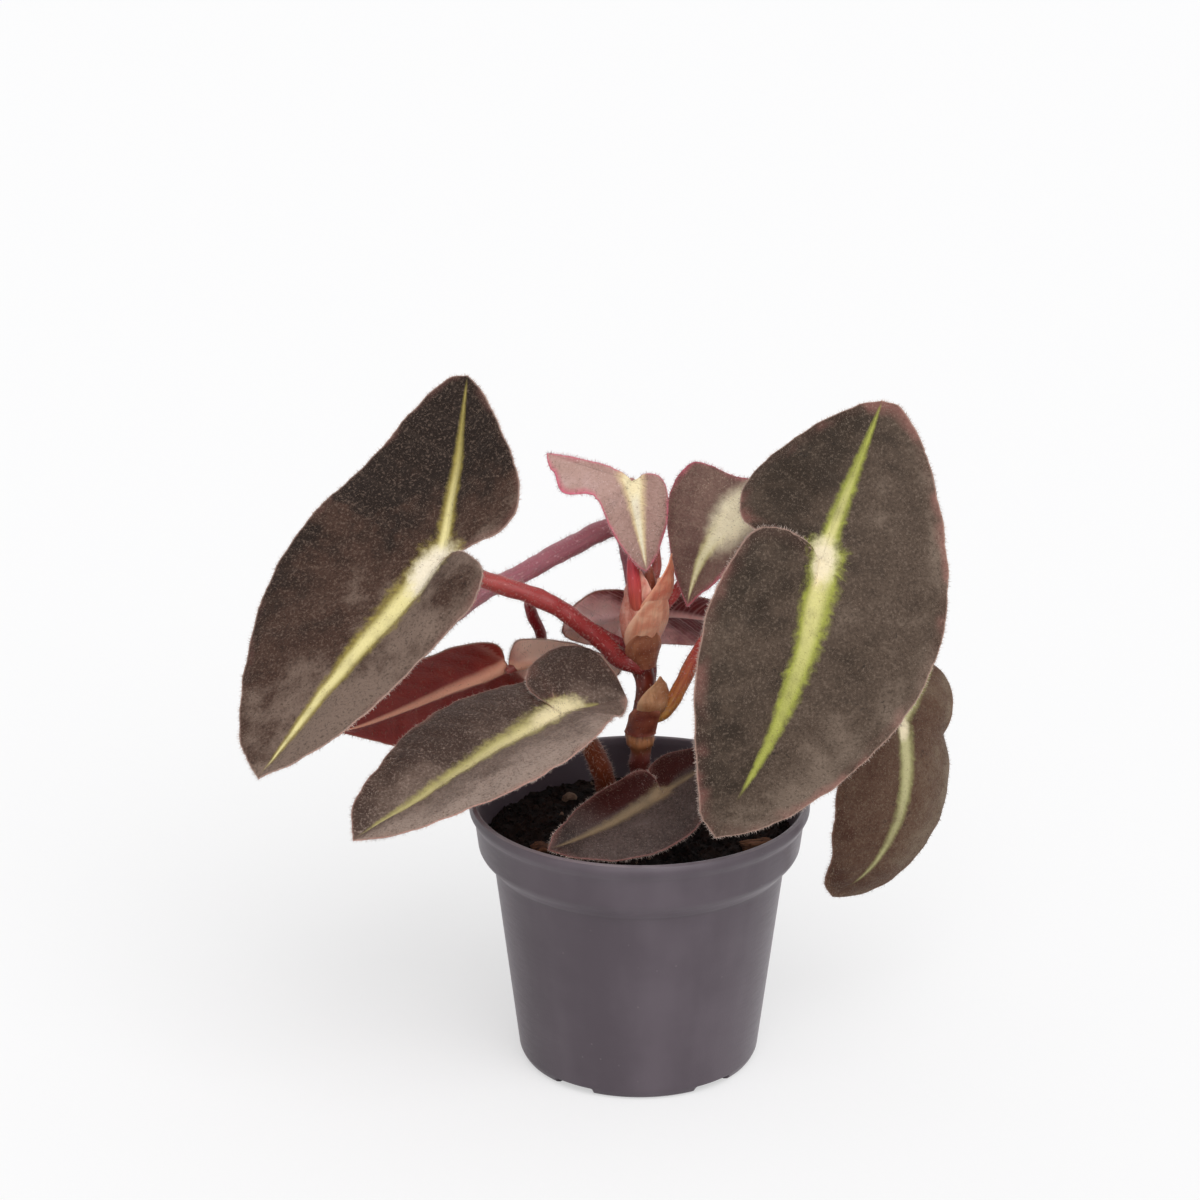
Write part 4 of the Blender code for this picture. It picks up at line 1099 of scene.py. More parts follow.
def make_fringe_tree():
    """Hairs along a line of edges, standing the way that its points carry."""
    inputs = ("Geometry", "Spacing", *HAIR_INPUTS)
    tree, given, out = new_group("fringe", "GeometryNodeTree", inputs, ("Geometry",))
    line = field(tree, "GeometryNodeMeshToCurve", {"Mesh": given["Geometry"]})
    inputs = {"Curve": line, "Length": given["Spacing"]}
    points = field(tree, "GeometryNodeResampleCurve", inputs, mode="LENGTH")
    fill(out[0], plant_hairs(given, points, named_value(tree, "flow", "FLOAT_VECTOR")))
    return tree


def make_crumb_tree():
    """Rough crumbs strewn over a surface."""
    inputs = ("Geometry", "Density", "Size", "Roundness", "Seed", "Material")
    tree, given, out = new_group("crumbs", "GeometryNodeTree", inputs, ("Geometry",))
    points, _ = scattered(given["Geometry"], given["Density"], given["Seed"])
    inputs = {"Radius": given["Size"], "Subdivisions": given["Roundness"]}
    ball = field(tree, "GeometryNodeMeshIcoSphere", inputs)
    turn = random_value("FLOAT_VECTOR", (0, 0, 0), (FULL_TURN, FULL_TURN, FULL_TURN), given["Seed"], 4)
    size = random_value("FLOAT_VECTOR", (0.35, 0.35, 0.3), (1.3, 1.1, 0.9), given["Seed"], 5)
    lumps = field(tree, "ShaderNodeTexNoise", {"Scale": 1300.0, "Detail": 2.0}, 1)
    push = scaled(vector_maths("SUBTRACT", lumps, (0.5, 0.5, 0.5)), given["Size"] * 1.6)
    fill(out[0], covered(moved(copied(points, ball, turn, size), push), given["Material"]))
    return tree


DOWN = make_down_tree()
FRINGE = make_fringe_tree()
CRUMBS = make_crumb_tree()


def grow(name, source, tree, seed, material, settings):
    """A plain object of what a tree makes from a source mesh. The source is left as it was."""
    settings = {**settings, "Seed": seed, "Material": material}
    modifier = source.modifiers.new(tree.name, "NODES")
    modifier.node_group = tree
    for socket in tree.interface.items_tree:
        if socket.item_type == "SOCKET" and socket.in_out == "INPUT" and socket.name in settings:
            modifier[socket.identifier] = settings[socket.name]
    mesh = evaluated_mesh(source)
    source.modifiers.remove(modifier)
    mesh.name = name
    for layer in [a.name for a in mesh.attributes if a.name in ("flow", "hairy", "skin", "share")]:
        mesh.attributes.remove(mesh.attributes[layer])
    mesh.shade_smooth()
    return new_object(name, mesh)


def evaluated_mesh(obj):
    """A plain mesh of the object as its modifiers leave it."""
    graph = bpy.context.evaluated_depsgraph_get()
    return bpy.data.meshes.new_from_object(obj.evaluated_get(graph), depsgraph=graph)


def joined(name, pieces):
    """One object from several, whose own objects are removed."""
    shape = bmesh.new()
    materials = []
    for piece in pieces:
        start = len(shape.faces)
        shape.from_mesh(piece.data)
        shape.faces.ensure_lookup_table()
        for face in shape.faces[start:]:
            face.material_index += len(materials)
        materials += list(piece.data.materials)
    mesh = bpy.data.meshes.new(name)
    shape.to_mesh(mesh)
    shape.free()
    for material in materials:
        mesh.materials.append(material)
    remove(*pieces)
    return new_object(name, mesh)


# ------------------------------------------------------------------------------------------------ leaves


def leaf_stations(leaf, back_rows, front_rows):
    """How far along the midrib each row of a blade lies, from the lobe's end to the tip."""
    back = np.linspace(-leaf.lobe, 0, back_rows + 1)
    front = leaf.reach * np.linspace(0, 1, front_rows + 1) ** ROW_CROWDING
    return np.r_[back, front[1:]]


def turned(points, degrees):
    """Flat points swung about the junction, towards the broad side."""
    angle = np.radians(degrees)
    x, y = points.T
    return np.stack([x * np.cos(angle) + y * np.sin(angle), y * np.cos(angle) - x * np.sin(angle)], axis=1)


def sweep_shift(leaf, points):
    """How far the sideways sweep of a blade takes its points."""
    return leaf.sweep * (np.clip(points[:, 0], 0, None) / leaf.reach) ** 2


def swept(leaf, points):
    """Points of a blade moved sideways by its sweep."""
    return np.column_stack([points[:, 0], points[:, 1] + sweep_shift(leaf, points)])


def flat_midrib(leaf, stations):
    """The midrib, with its part in the large lobe turned and its part ahead swept sideways."""
    straight = np.stack([stations, 0 * stations], axis=1)
    return swept(leaf, np.where(stations[:, None] < 0, turned(straight, leaf.turn), straight))


def reach_across(outline):
    """How much of the overlap of the two basal lobes each point of their outlines takes part in."""
    along, across = np.array(outline).T
    return ease(-across / 0.5) * ease(hat(along, 0, 0.35))


def uneven_margin(margin, seed):
    """Pushes a margin in and out a little, as small waves and blunt teeth."""
    steps = unit(np.gradient(margin, axis=0))
    outward = np.stack([-steps[:, 1], steps[:, 0]], axis=1)
    lengths = run_along(margin)
    push = MARGIN_TEETH * waves(lengths, seed, (1.9, 2.6))
    push = push + MARGIN_RIPPLE * waves(lengths, seed + 1, (7, 11))
    fade = ease(lengths / 4) * ease((lengths[-1] - lengths) / 4)
    return margin + outward * (push * fade)[:, None]


def own_outlines(leaf):
    """The three outlines with this leaf's own tip and lobe."""
    lines = (leaf.outline or OUTER_MARGIN, SMALL_LOBE_MARGIN, LARGE_LOBE_MARGIN)
    outer, small, large = (np.array(line, float) for line in lines)
    for line in (outer, small):
        near_tip = hat(line[:, 0], 0.92, 0.22) * (line[:, 0] < 1)
        line[:, 1] += leaf.blunt * 0.2 * near_tip * np.sign(line[:, 1])
    large += leaf.round_lobe * (np.array(ROUND_LOBE_MARGIN, float) - large)
    for line in (outer, large):
        line[:, 1] *= 1 - leaf.lobe_taper * ease((-line[:, 0] - 0.15) / 0.7)
    small[:, 1] *= 1 - leaf.slim * ease(hat(small[:, 0], 0.38, 0.42))
    return outer, small, large


def flat_margins(leaf, back_rows, front_rows, seed):
    """The margins of the broad half, of the narrow half and of the large lobe's inner half."""

    def scaled_to(outline, width):
        return np.array([(x * (leaf.reach if x >= 0 else leaf.lobe), y * width) for x, y in outline])

    outer_margin, small_margin, large_margin = own_outlines(leaf)
    outer = scaled_to(outer_margin, leaf.outer)
    outer[:, 1] *= 1 + (leaf.shoulder - 1) * ease(-1.4 * outer[:, 0] / leaf.lobe)
    outer = curve_through(outer, back_rows + front_rows + 1)
    inner = scaled_to(small_margin, leaf.inner)
    inner[:, 0] -= 0.5 * leaf.overlap * reach_across(SMALL_LOBE_MARGIN)
    inner = curve_through(inner, front_rows + 1)
    lobe = scaled_to(large_margin, leaf.back)
    lobe[:, 0] += leaf.overlap * reach_across(LARGE_LOBE_MARGIN)
    lobe = turned(curve_through(lobe, back_rows + 1), leaf.turn)
    bearing = np.degrees(np.arctan2(outer[:, 1], outer[:, 0])) % 360
    outer = turned(outer, leaf.turn * ease((bearing - TURN_START) / TURN_SPAN))
    return [swept(leaf, uneven_margin(line, seed + i)) for i, line in enumerate((outer, inner, lobe))]


def raised(midrib, margin, share, fold, curl_rate):
    """Points a share of the way from the midrib to the margin, lifted along an arc across the half."""
    across = margin - midrib
    width = np.linalg.norm(across, axis=1)
    away = width * share
    fold = np.radians(fold) * np.ones(len(away))
    rate = math.radians(curl_rate) or 1e-6
    flat = (np.sin(fold) - np.sin(fold - rate * away)) / rate
    height = (np.cos(fold - rate * away) - np.cos(fold)) / rate
    direction = across / np.maximum(width, 1e-9)[:, None]
    lifted = np.column_stack([midrib + direction * flat[:, None], height])
    return lifted, midrib + direction * away[:, None]


def bent(leaf, points):
    """Twists the raised blade about its length, droops both its ends, and gives it its handedness."""
    x, y, z = points.T
    ahead = x >= 0
    twist = np.radians(np.where(ahead, leaf.twist * x / leaf.reach, -leaf.back_twist * x / leaf.lobe))
    y, z = y * np.cos(twist) - z * np.sin(twist), y * np.sin(twist) + z * np.cos(twist)
    rate = np.radians(np.where(ahead, leaf.droop / leaf.reach, leaf.back_droop / leaf.lobe))
    rate = np.where(np.abs(rate) < 1e-7, 1e-7, rate)
    angle = rate * np.abs(x)
    along = np.sign(x) * (1 / rate + z) * np.sin(angle)
    height = (1 / rate + z) * np.cos(angle) - 1 / rate
    return np.column_stack([along, y * leaf.side, height])


def leaf_turn(leaf):
    """The matrix that turns a blade by its heading, dip and roll."""
    heading, dip, roll = np.radians([leaf.heading, leaf.dip, leaf.roll])
    cos, sin = np.cos, np.sin
    about_z = np.array([[cos(heading), -sin(heading), 0], [sin(heading), cos(heading), 0], [0, 0, 1]])
    about_y = np.array([[cos(dip), 0, sin(dip)], [0, 1, 0], [-sin(dip), 0, cos(dip)]])
    about_x = np.array([[1, 0, 0], [0, cos(roll), -sin(roll)], [0, sin(roll), cos(roll)]])
    return about_z @ about_y @ about_x


def vein_spacing(leaf):
    """Millimetres along the midrib from one side vein to the next."""
    return SIDE_VEIN_GAP + SIDE_VEIN_GROWTH * (leaf.reach + leaf.lobe)


def vein_count(leaf, front, back, half):
    """A number that is whole along each side vein, over one half of the blade."""
    palm = math.degrees(math.atan2(1, SIDE_VEIN_SLOPE))

    def ahead(points):
        return (points[:, 0] - SIDE_VEIN_SLOPE * np.abs(points[:, 1])) / vein_spacing(leaf)

    def bearing(points):
        return np.degrees(np.arctan2(np.abs(points[:, 1]), points[:, 0]))

    if half == "outer":
        fan = (180 - leaf.turn - 2 * palm) / 3
        count = np.where(ahead(front) > 0, ahead(front), -(bearing(front) - palm) / fan)
        return np.where(ahead(back) > 0, -3 - ahead(back), count)
    near = front if half == "inner" else back
    return np.where(ahead(near) > 0, ahead(near), -(bearing(near) - palm) / SIDE_VEIN_FAN)


def leaf_sheet(leaf, seed):
    """The blade's upper surface: points, faces, the margin lines, and what each point knows."""
    front_rows = max(14, round(1.25 * leaf.reach / ROW_STEP))
    back_rows = max(9, round(1.25 * leaf.lobe / ROW_STEP))
    outer_columns = max(10, round(leaf.outer / ROW_STEP))
    inner_columns = max(8, round(max(leaf.inner, leaf.back) / ROW_STEP))
    stations = leaf_stations(leaf, back_rows, front_rows)
    midrib = flat_midrib(leaf, stations)
    outer, inner, lobe = flat_margins(leaf, back_rows, front_rows, seed)
    last = back_rows + front_rows
    ear = leaf.ear * (1 - ease(stations[back_rows:] / (EAR_SHARE * leaf.reach)))
    fold = leaf.fold * np.ones(len(stations))
    if leaf.lobe_fold is not None:
        fold += (leaf.lobe_fold - leaf.fold) * ease(-stations / (0.7 * leaf.lobe))
    halves = {  # the margin, the first and last row, the columns, the fold and the curl of each
        "outer": (outer, 0, last, outer_columns, fold, leaf.curl / leaf.outer),
        "inner": (inner, back_rows, last, inner_columns, leaf.in_fold + ear, leaf.in_curl / leaf.inner),
        "lobe": (lobe, 0, back_rows, inner_columns, leaf.back_fold, leaf.back_curl / leaf.back),
    }
    lifted_parts = [np.column_stack([midrib, 0 * stations])]
    flat_parts = [midrib]
    share_parts = [np.zeros(len(stations))]
    sides = [np.full(len(stations), 0)]
    faces, lines = [], []
    total = len(stations)
    for number, (half, (margin, start, end, columns, fold, curl_rate)) in enumerate(halves.items()):
        rows = end - start + 1
        index = np.zeros((rows, columns + 1), int)
        index[:, 0] = np.arange(start, end + 1)
        index[0] = start
        index[-1] = end
        for column in range(1, columns + 1):
            lifted, flat = raised(midrib[start : end + 1], margin, column / columns, fold, curl_rate)
            lifted_parts.append(lifted[1:-1])
            flat_parts.append(flat[1:-1])
            share_parts.append(np.full(rows - 2, column / columns))
            sides.append(np.full(rows - 2, number))
            index[1:-1, column] = total + np.arange(rows - 2)
            total += rows - 2
        lines.append(index[:, columns])
        corners = np.stack([index[:-1, :-1], index[1:, :-1], index[1:, 1:], index[:-1, 1:]], axis=-1)
        quads = [list(dict.fromkeys(quad)) for quad in corners.reshape(-1, 4).tolist()]
        faces += quads if half == "outer" else [quad[::-1] for quad in quads]
    flat, lifted, side = np.vstack(flat_parts), np.vstack(lifted_parts), np.concatenate(sides)
    front = np.column_stack([flat[:, 0], flat[:, 1] - sweep_shift(leaf, flat)])
    back = -turned(flat, -leaf.turn)
    count = np.zeros(len(flat))
    for number, half in enumerate(halves):
        chosen = side == number
        count[chosen] = vein_count(leaf, front[chosen], back[chosen], half)
    margin_points = flat[np.concatenate(lines)]
    distance = np.min(np.linalg.norm(flat[:, None] - margin_points[None], axis=2), axis=1)
    share = np.concatenate(share_parts)
    along = np.where(front[:, 0] > 0, front[:, 0] / leaf.reach, -back[:, 0] / leaf.lobe)
    marks = {
        "front": np.column_stack([front, count]),
        "back": np.column_stack([back, 0 * count]),
        "spread": np.column_stack([along, np.where(side == 0, share, -share), distance]),
    }
    rib = np.minimum(*(np.where(way[:, 0] > 0, np.abs(way[:, 1]), np.hypot(*way.T)) for way in (front, back)))
    if leaf.side < 0:
        faces = [face[::-1] for face in faces]
    points = bent(leaf, lifted) @ leaf_turn(leaf).T + np.array(leaf.place)
    return points, faces, lines, marks, rib


def sheet_normals(points, faces):
    """The way that a sheet faces at each of its points."""
    normals = np.zeros_like(points)
    for face in faces:
        spokes = points[face[1:]] - points[face[0]]
        normals[face] += np.cross(spokes[:-1], spokes[1:]).sum(axis=0)
    return unit(normals)


def thickened(points, faces, thickness):
    """A closed shell: the sheet, a copy of it a thickness below, and a wall along its edge."""
    count = len(points)
    below = points - sheet_normals(points, faces) * np.reshape(thickness * np.ones(count), (-1, 1))
    solid = [tuple(face) for face in faces]
    solid += [tuple(corner + count for corner in face[::-1]) for face in faces]
    edges = {(a, b) for face in faces for a, b in zip(face, face[1:] + face[:1])}
    walls = sorted((a, b) for a, b in edges if (b, a) not in edges)
    solid += [(a, a + count, b + count, b) for a, b in walls]
    kinds = [0] * len(faces) + [1] * (len(faces) + len(walls))
    return np.vstack([points, below]), solid, kinds


def margin_flow(points, normals, line, inside):
    """The way out of the blade at each point of a margin line."""
    out = unit(np.cross(np.gradient(points[line], axis=0), normals[line]))
    wrong = ((points[line] - inside) * out).sum(axis=1) < 0
    out[wrong] *= -1
    return out


def blade_relief(leaf, seed, points, marks, rib):
    """How far each point of a blade's upper side rises, and how thick the blade is there."""
    along, _, edge = marks["spread"].T
    phase = marks["front"][:, 2] - np.round(marks["front"][:, 2])
    inner = ease(edge / 3.0) * ease(rib / 2.5)
    scale = min(1, leaf.reach / 40)
    quilt = QUILT_HEIGHT * scale * np.sin(math.pi * np.abs(phase)) ** 2 * inner
    groove = -GROOVE_DEPTH * scale * bell(rib, GROOVE_WIDTH) * ease((1 - np.abs(along)) / 0.3)
    swell = SWELL_HEIGHT * scale * smooth_noise(points, 14, seed + 5) * ease(edge / 5)
    lip = MARGIN_RIPPLE * waves(points @ [0.9, 0.7, 0.5], seed + 8, (5, 8)) * ((1 - ease(edge / 4)) * scale)
    thickness = BLADE_THICKNESS * (0.55 + 0.45 * ease(edge / 1.5))
    taper = np.clip(1 - np.abs(along), 0, 1) ** 0.6
    thickness += RIB_HEIGHT * bell(rib, RIB_WIDTH) * taper * ease(edge / 1.2)
    thickness += SIDE_VEIN_HEIGHT * bell(phase * vein_spacing(leaf), SIDE_VEIN_WIDTH) * inner
    return quilt + groove + swell + lip, thickness


def make_blade(name, leaf, seed, down, fringe):
    """A blade with its two materials, and the hairs on both its sides and along its margin."""
    points, faces, lines, marks, rib = leaf_sheet(leaf, seed)
    rise, thickness = blade_relief(leaf, seed, points, marks, rib)
    points = points + sheet_normals(points, faces) * rise[:, None]
    normals = sheet_normals(points, faces)
    solid, solid_faces, kinds = thickened(points, faces, thickness)
    both = {key: np.vstack([values, values]) for key, values in marks.items()}
    materials = [make_blade_material(name, leaf), make_underside_material(name, leaf)]
    slot = "young_leaf" if leaf.tint.young > 0.5 else "leaf"
    short = name.removeprefix("leaf_")
    blade = add_mesh("blade_" + short, solid, solid_faces, both, materials, kinds, sharp=70)
    settle(blade, slot, name)

    flow = 0.6 * unit(points - np.array(leaf.place)) + 0.4 * (leaf_turn(leaf) @ [1, 0, 0])
    patchy = 0.55 + 0.45 * ease(0.5 + 0.8 * smooth_noise(points, 6, seed + 9))
    hairy = patchy * (0.25 + 0.75 * ease((rib - 0.4) / 1.2)) * leaf.hair
    hairy = hairy * (1 + 2.2 * (1 - ease(marks["spread"][:, 2] / 3.0)))
    upper = add_mesh("sheet", points, faces, {"flow": flow, "hairy": hairy}, closed=False)
    backwards = [face[::-1] for face in faces]
    bare = {"flow": flow, "hairy": np.ones(len(points))}
    under = add_mesh("below", solid[len(points):], backwards, bare, closed=False)
    hairs = [
        grow("upper", upper, DOWN, seed, down, HAIRS["upper"]),
        grow("lower", under, DOWN, seed + 50, down, HAIRS["under"]),
    ]
    for number, line in enumerate(lines):
        middle = points[line] + 0.5 * (np.array(leaf.place) - points[line])
        out = margin_flow(points, normals, line, middle) + 0.15 * normals[line]
        edges = [(i, i + 1) for i in range(len(line) - 1)]
        height = points[line] - 0.15 * normals[line]
        margin = add_mesh("margin", height, [], {"flow": out}, closed=False, edges=edges)
        hairs.append(grow("fringe", margin, FRINGE, seed + 100 + number, fringe, HAIRS["margin"]))
        remove(margin)
    remove(upper, under)
    settle(joined("hairs_" + short, hairs), slot)


# ------------------------------------------------------------------------------- stem, petioles and bud


def rings_along(path, radii, sides):
    """Rings of points square to the path, each turned as little as it can be from the one before."""
    directions = np.gradient(path, axis=0, edge_order=2)
    directions /= np.linalg.norm(directions, axis=1)[:, None]
    side = np.cross(directions[0], [0.3, 1.0, 0.2])
    angles = np.linspace(0, 2 * math.pi, sides, endpoint=False)[:, None]
    rings = []
    for centre, direction, radius in zip(path, directions, radii):
        side = side - direction * (side @ direction)
        side = side / np.linalg.norm(side)
        up = np.cross(direction, side)
        rings.append(centre + radius * (np.cos(angles) * side + np.sin(angles) * up))
    return rings


def stalk(name, path, radii, sides, material, seed, lumps=0.05):
    """A slightly uneven round stalk with domed ends."""
    first, last = unit(path[[0, -1]] - path[[1, -2]])
    foot = [(path[0] + first * radii[0] * (1 - low), radii[0] * width) for low, width in DOME]
    top = [(path[-1] + last * radii[-1] * (1 - low), radii[-1] * width) for low, width in DOME[::-1]]
    centres = np.vstack([*(centre for centre, _ in foot), path, *(centre for centre, _ in top)])
    sizes = np.r_[[size for _, size in foot], radii, [size for _, size in top]]
    skin = np.vstack(rings_along(centres, sizes, sides))
    middle = np.repeat(centres, sides, axis=0)
    out = skin - middle
    points = middle + out * (1 + lumps * smooth_noise(skin, 3.0, seed))[:, None]
    end = len(points) - sides
    faces = [tuple(range(sides)), tuple(range(end, end + sides))[::-1]]
    for low in range(0, end, sides):
        high = low + sides
        faces += [(low + i, low + (i + 1) % sides, high + (i + 1) % sides, high + i) for i in range(sides)]
    angles = np.tile(np.linspace(0, 2 * math.pi, sides, endpoint=False), len(centres))
    size, run = np.repeat(sizes, sides), np.repeat(run_along(centres), sides)
    marks = {
        "skin": np.column_stack([size * np.cos(angles), size * np.sin(angles), run]),
        "share": run / run[-1],
        "flow": unit(out),
        "hairy": np.ones(len(points)),
    }
    return add_mesh(name, points, faces, marks, [material])


def make_stem(hair):
    """The main stem, with its swollen joints."""
    stem = curve_through(STEM, 120)
    material = make_stalk_material("stem", STEM_COLOURS, 0.45, 0.012)
    piece = stalk("begonia_stem", stem[:, :3], stem[:, 3], 24, material, 71, 0.07)
    hairs = grow("hairs_stem", piece, DOWN, 72, hair, HAIRS["stem"])
    settle(piece, "stem", "main_stem")
    settle(hairs, "stem")


def make_petiole(name, seed, hair):
    """A petiole that swells a little at its foot and narrows under the blade that it carries."""
    leaf_name, colours, ends, route = PETIOLES[name]
    leaf = LEAVES[leaf_name]
    below_junction = 0.55 + 0.75 * ends[1]
    end = np.array(leaf.place) - leaf_turn(leaf) @ [0, 0, 1] * below_junction
    path = curve_through([*route, tuple(end)], 70)
    share = np.linspace(0, 1, len(path))
    radii = np.interp(share, [0, 1], ends)
    radii *= 1 + 0.22 * bell(share, 0.06) - 0.25 * ease((share - 0.95) / 0.05)
    radii += 0.12 * bell(share - 0.93, 0.05)
    short = name.removeprefix("petiole_")
    piece = stalk("stalk_" + short, path, radii, 20, make_stalk_material(name, colours), seed)
    hairs = grow("hairs_stalk_" + short, piece, DOWN, seed, hair, HAIRS["petiole"])
    settle(piece, "petiole", name)
    settle(hairs, "petiole")


def make_bract(name, seed, hair):
    """A pointed papery bract that wraps part of the way round the stem, with a keel and a ruffled edge."""
    base, azimuth, length, half_angle, apart, lean, tip, main, pale = BRACTS[name]
    stem = curve_through(STEM, 300)
    points, skin, share = [], [], []
    for rise in np.linspace(0, 1, BRACT_ROWS + 1):
        height = min(base + length * rise, STEM[-1][2])
        x, y, _, radius = (float(np.interp(height, stem[:, 2], column)) for column in stem.T)
        stand_off = radius + 0.25 + apart * ease(2 * rise)
        stand_off += length * rise * math.tan(math.radians(lean))
        spread = math.radians(half_angle) * (1 - (1 - tip) * rise**1.6)
        for across in np.linspace(-1, 1, BRACT_COLUMNS + 1):
            angle = math.radians(azimuth) + spread * across
            ruffle = RUFFLE_HEIGHT * math.sin(9 * rise + 3 * across + seed) * abs(across)
            away = stand_off + ruffle + KEEL_HEIGHT * (1 - rise) * bell(across, KEEL_WIDTH)
            droop = length * 0.10 * across**2 * rise
            points.append((x + away * math.cos(angle), y + away * math.sin(angle),
                           base + length * rise - droop))
            skin.append((spread * across * stand_off, 0, length * rise))
            share.append((1 - abs(across)) * min(1, 3 * (1 - rise) + 0.2))
    wide = BRACT_COLUMNS + 1
    lows = [row * wide + column for row in range(BRACT_ROWS) for column in range(BRACT_COLUMNS)]
    faces = [[low, low + wide, low + wide + 1, low + 1] for low in lows]
    solid, solid_faces, _ = thickened(np.array(points), faces, BRACT_THICKNESS)
    marks = {"skin": np.vstack([skin, skin]), "share": np.r_[share, share]}
    marks["flow"] = np.tile([0, 0, 1.0], (len(solid), 1))
    marks["hairy"] = np.ones(len(solid))
    material = make_bract_material("bract_" + name, main, pale)
    piece = add_mesh("bract_" + name, solid, solid_faces, marks, [material])
    hairs = grow("hairs_bract_" + name, piece, DOWN, seed, hair, HAIRS["bract"])
    settle(piece, "stipule", "stipule_" + name)
    settle(hairs, "stipule")


def make_bud():
    """The rolled young leaf at the growing tip."""
    bud = curve_through(BUD, 30)
    piece = stalk("rolled_bud", bud[:, :3], bud[:, 3], 16, make_stalk_material("bud", BUD_COLOURS), 91)
    settle(piece, "young_leaf", "leaf_bud")


# --------------------------------------------------------------------------------------- pot and soil


def rounded(profile, size):
    """A profile with each inner corner replaced by three points of a small curve."""
    points = np.array(profile, float)
    result = [tuple(points[0])]
    for before, corner, after in zip(points, points[1:], points[2:]):
        back, ahead = before - corner, after - corner
        cut = min(size, 0.42 * np.linalg.norm(back), 0.42 * np.linalg.norm(ahead))
        start = corner + back / np.linalg.norm(back) * cut
        end = corner + ahead / np.linalg.norm(ahead) * cut
        result += [tuple(start), tuple(0.25 * start + 0.5 * corner + 0.25 * end), tuple(end)]
    return result + [tuple(points[-1])]


def ring(radius, angles, height, x=0.0, y=0.0):
    """Points of a level ring round (x, y)."""
    return [(x + radius * math.cos(a), y + radius * math.sin(a), z) for a, z in np.broadcast(angles, height)]


def lathe_faces(rings, count):
    """Faces of a shape turned about Z: a fan at each of its two end points and strips between its rings."""
    faces = []
    for i in range(count):
        j = (i + 1) % count
        faces.append((0, 1 + j, 1 + i))
        for low in range(1, 1 + (rings - 1) * count, count):
            faces.append((low + i, low + j, low + count + j, low + count + i))
        last = 1 + (rings - 1) * count
        faces.append((last + i, last + j, last + count))
    return faces


def make_pot():
    """The moulded pot: a turned shell whose foot is cut by recesses with a drain hole in each."""
    outside = [(0.0, 0.0), (11.0, 0.0), (12.6, 0.0)] + rounded(POT_OUTSIDE, 0.35)
    profile = outside + rounded(POT_INSIDE, 0.3) + [(0.0, POT_FLOOR)]
    middles = [FIRST_RECESS + i * 360 / FOOT_COUNT for i in range(FOOT_COUNT)]
    angles = list(np.linspace(0, 360, POT_SEGMENTS, endpoint=False))
    for middle in middles:
        for side in (-1, 1):
            angles += [(middle + side * (RECESS_ANGLE / 2 - step)) % 360 for step in (0, RECESS_EDGE)]
    angles = np.unique(np.round(angles, 2))
    away = np.min([np.abs((angles - middle + 180) % 360 - 180) for middle in middles], axis=0)
    recess = ease((RECESS_ANGLE / 2 - away) / RECESS_EDGE) * RECESS_HEIGHT
    points = [(0, 0, 0.0)]
    for number, (radius, height) in enumerate(profile[1:-1]):
        in_foot = number + 1 < len(outside) and radius > RECESS_INNER_RADIUS
        points += ring(radius, np.radians(angles), np.maximum(height, recess) if in_foot else height)
    points.append((0, 0, POT_FLOOR))
    faces = lathe_faces(len(profile) - 2, len(angles))
    pot = add_mesh("pot_shell", points, faces, materials=[make_pot_material()], sharp=32)
    points, faces = [], []
    around = np.linspace(0, 2 * math.pi, HOLE_SIDES, endpoint=False)
    for middle in np.radians(middles):
        low, high = len(points), len(points) + HOLE_SIDES
        x, y = DRAIN_HOLE_PLACE * math.cos(middle), DRAIN_HOLE_PLACE * math.sin(middle)
        for height in (0.5 * RECESS_HEIGHT, POT_FLOOR + 1.1):
            points += ring(DRAIN_HOLE_RADIUS, around, height, x, y)
        faces += [tuple(range(low, high)), tuple(range(high, high + HOLE_SIDES))[::-1]]
        faces += [(low + i, high + i, high + (i + 1) % HOLE_SIDES, low + (i + 1) % HOLE_SIDES)
                  for i in range(HOLE_SIDES)]
    drill = add_mesh("drill", points, faces)
    modifier = pot.modifiers.new("holes", "BOOLEAN")
    modifier.operation = "DIFFERENCE"
    modifier.solver = "EXACT"
    modifier.object = drill
    mesh = evaluated_mesh(pot)
    pot.modifiers.clear()
    pot.data = mesh
    remove(drill)
    settle(pot, "pot", "pot")


def soil_height(x, y):
    """A low mound with shallow waves, level at the pot's wall."""
    fall = 1 - (x * x + y * y) / (SOIL_RADIUS - 0.1) ** 2
    ripple = 0.35 * np.sin(0.55 * x + 1.1) * np.cos(0.48 * y - 0.4) + 0.2 * np.sin(0.9 * y + 0.6 * x)
    return SOIL_LEVEL + fall * (MOUND_HEIGHT + ripple)


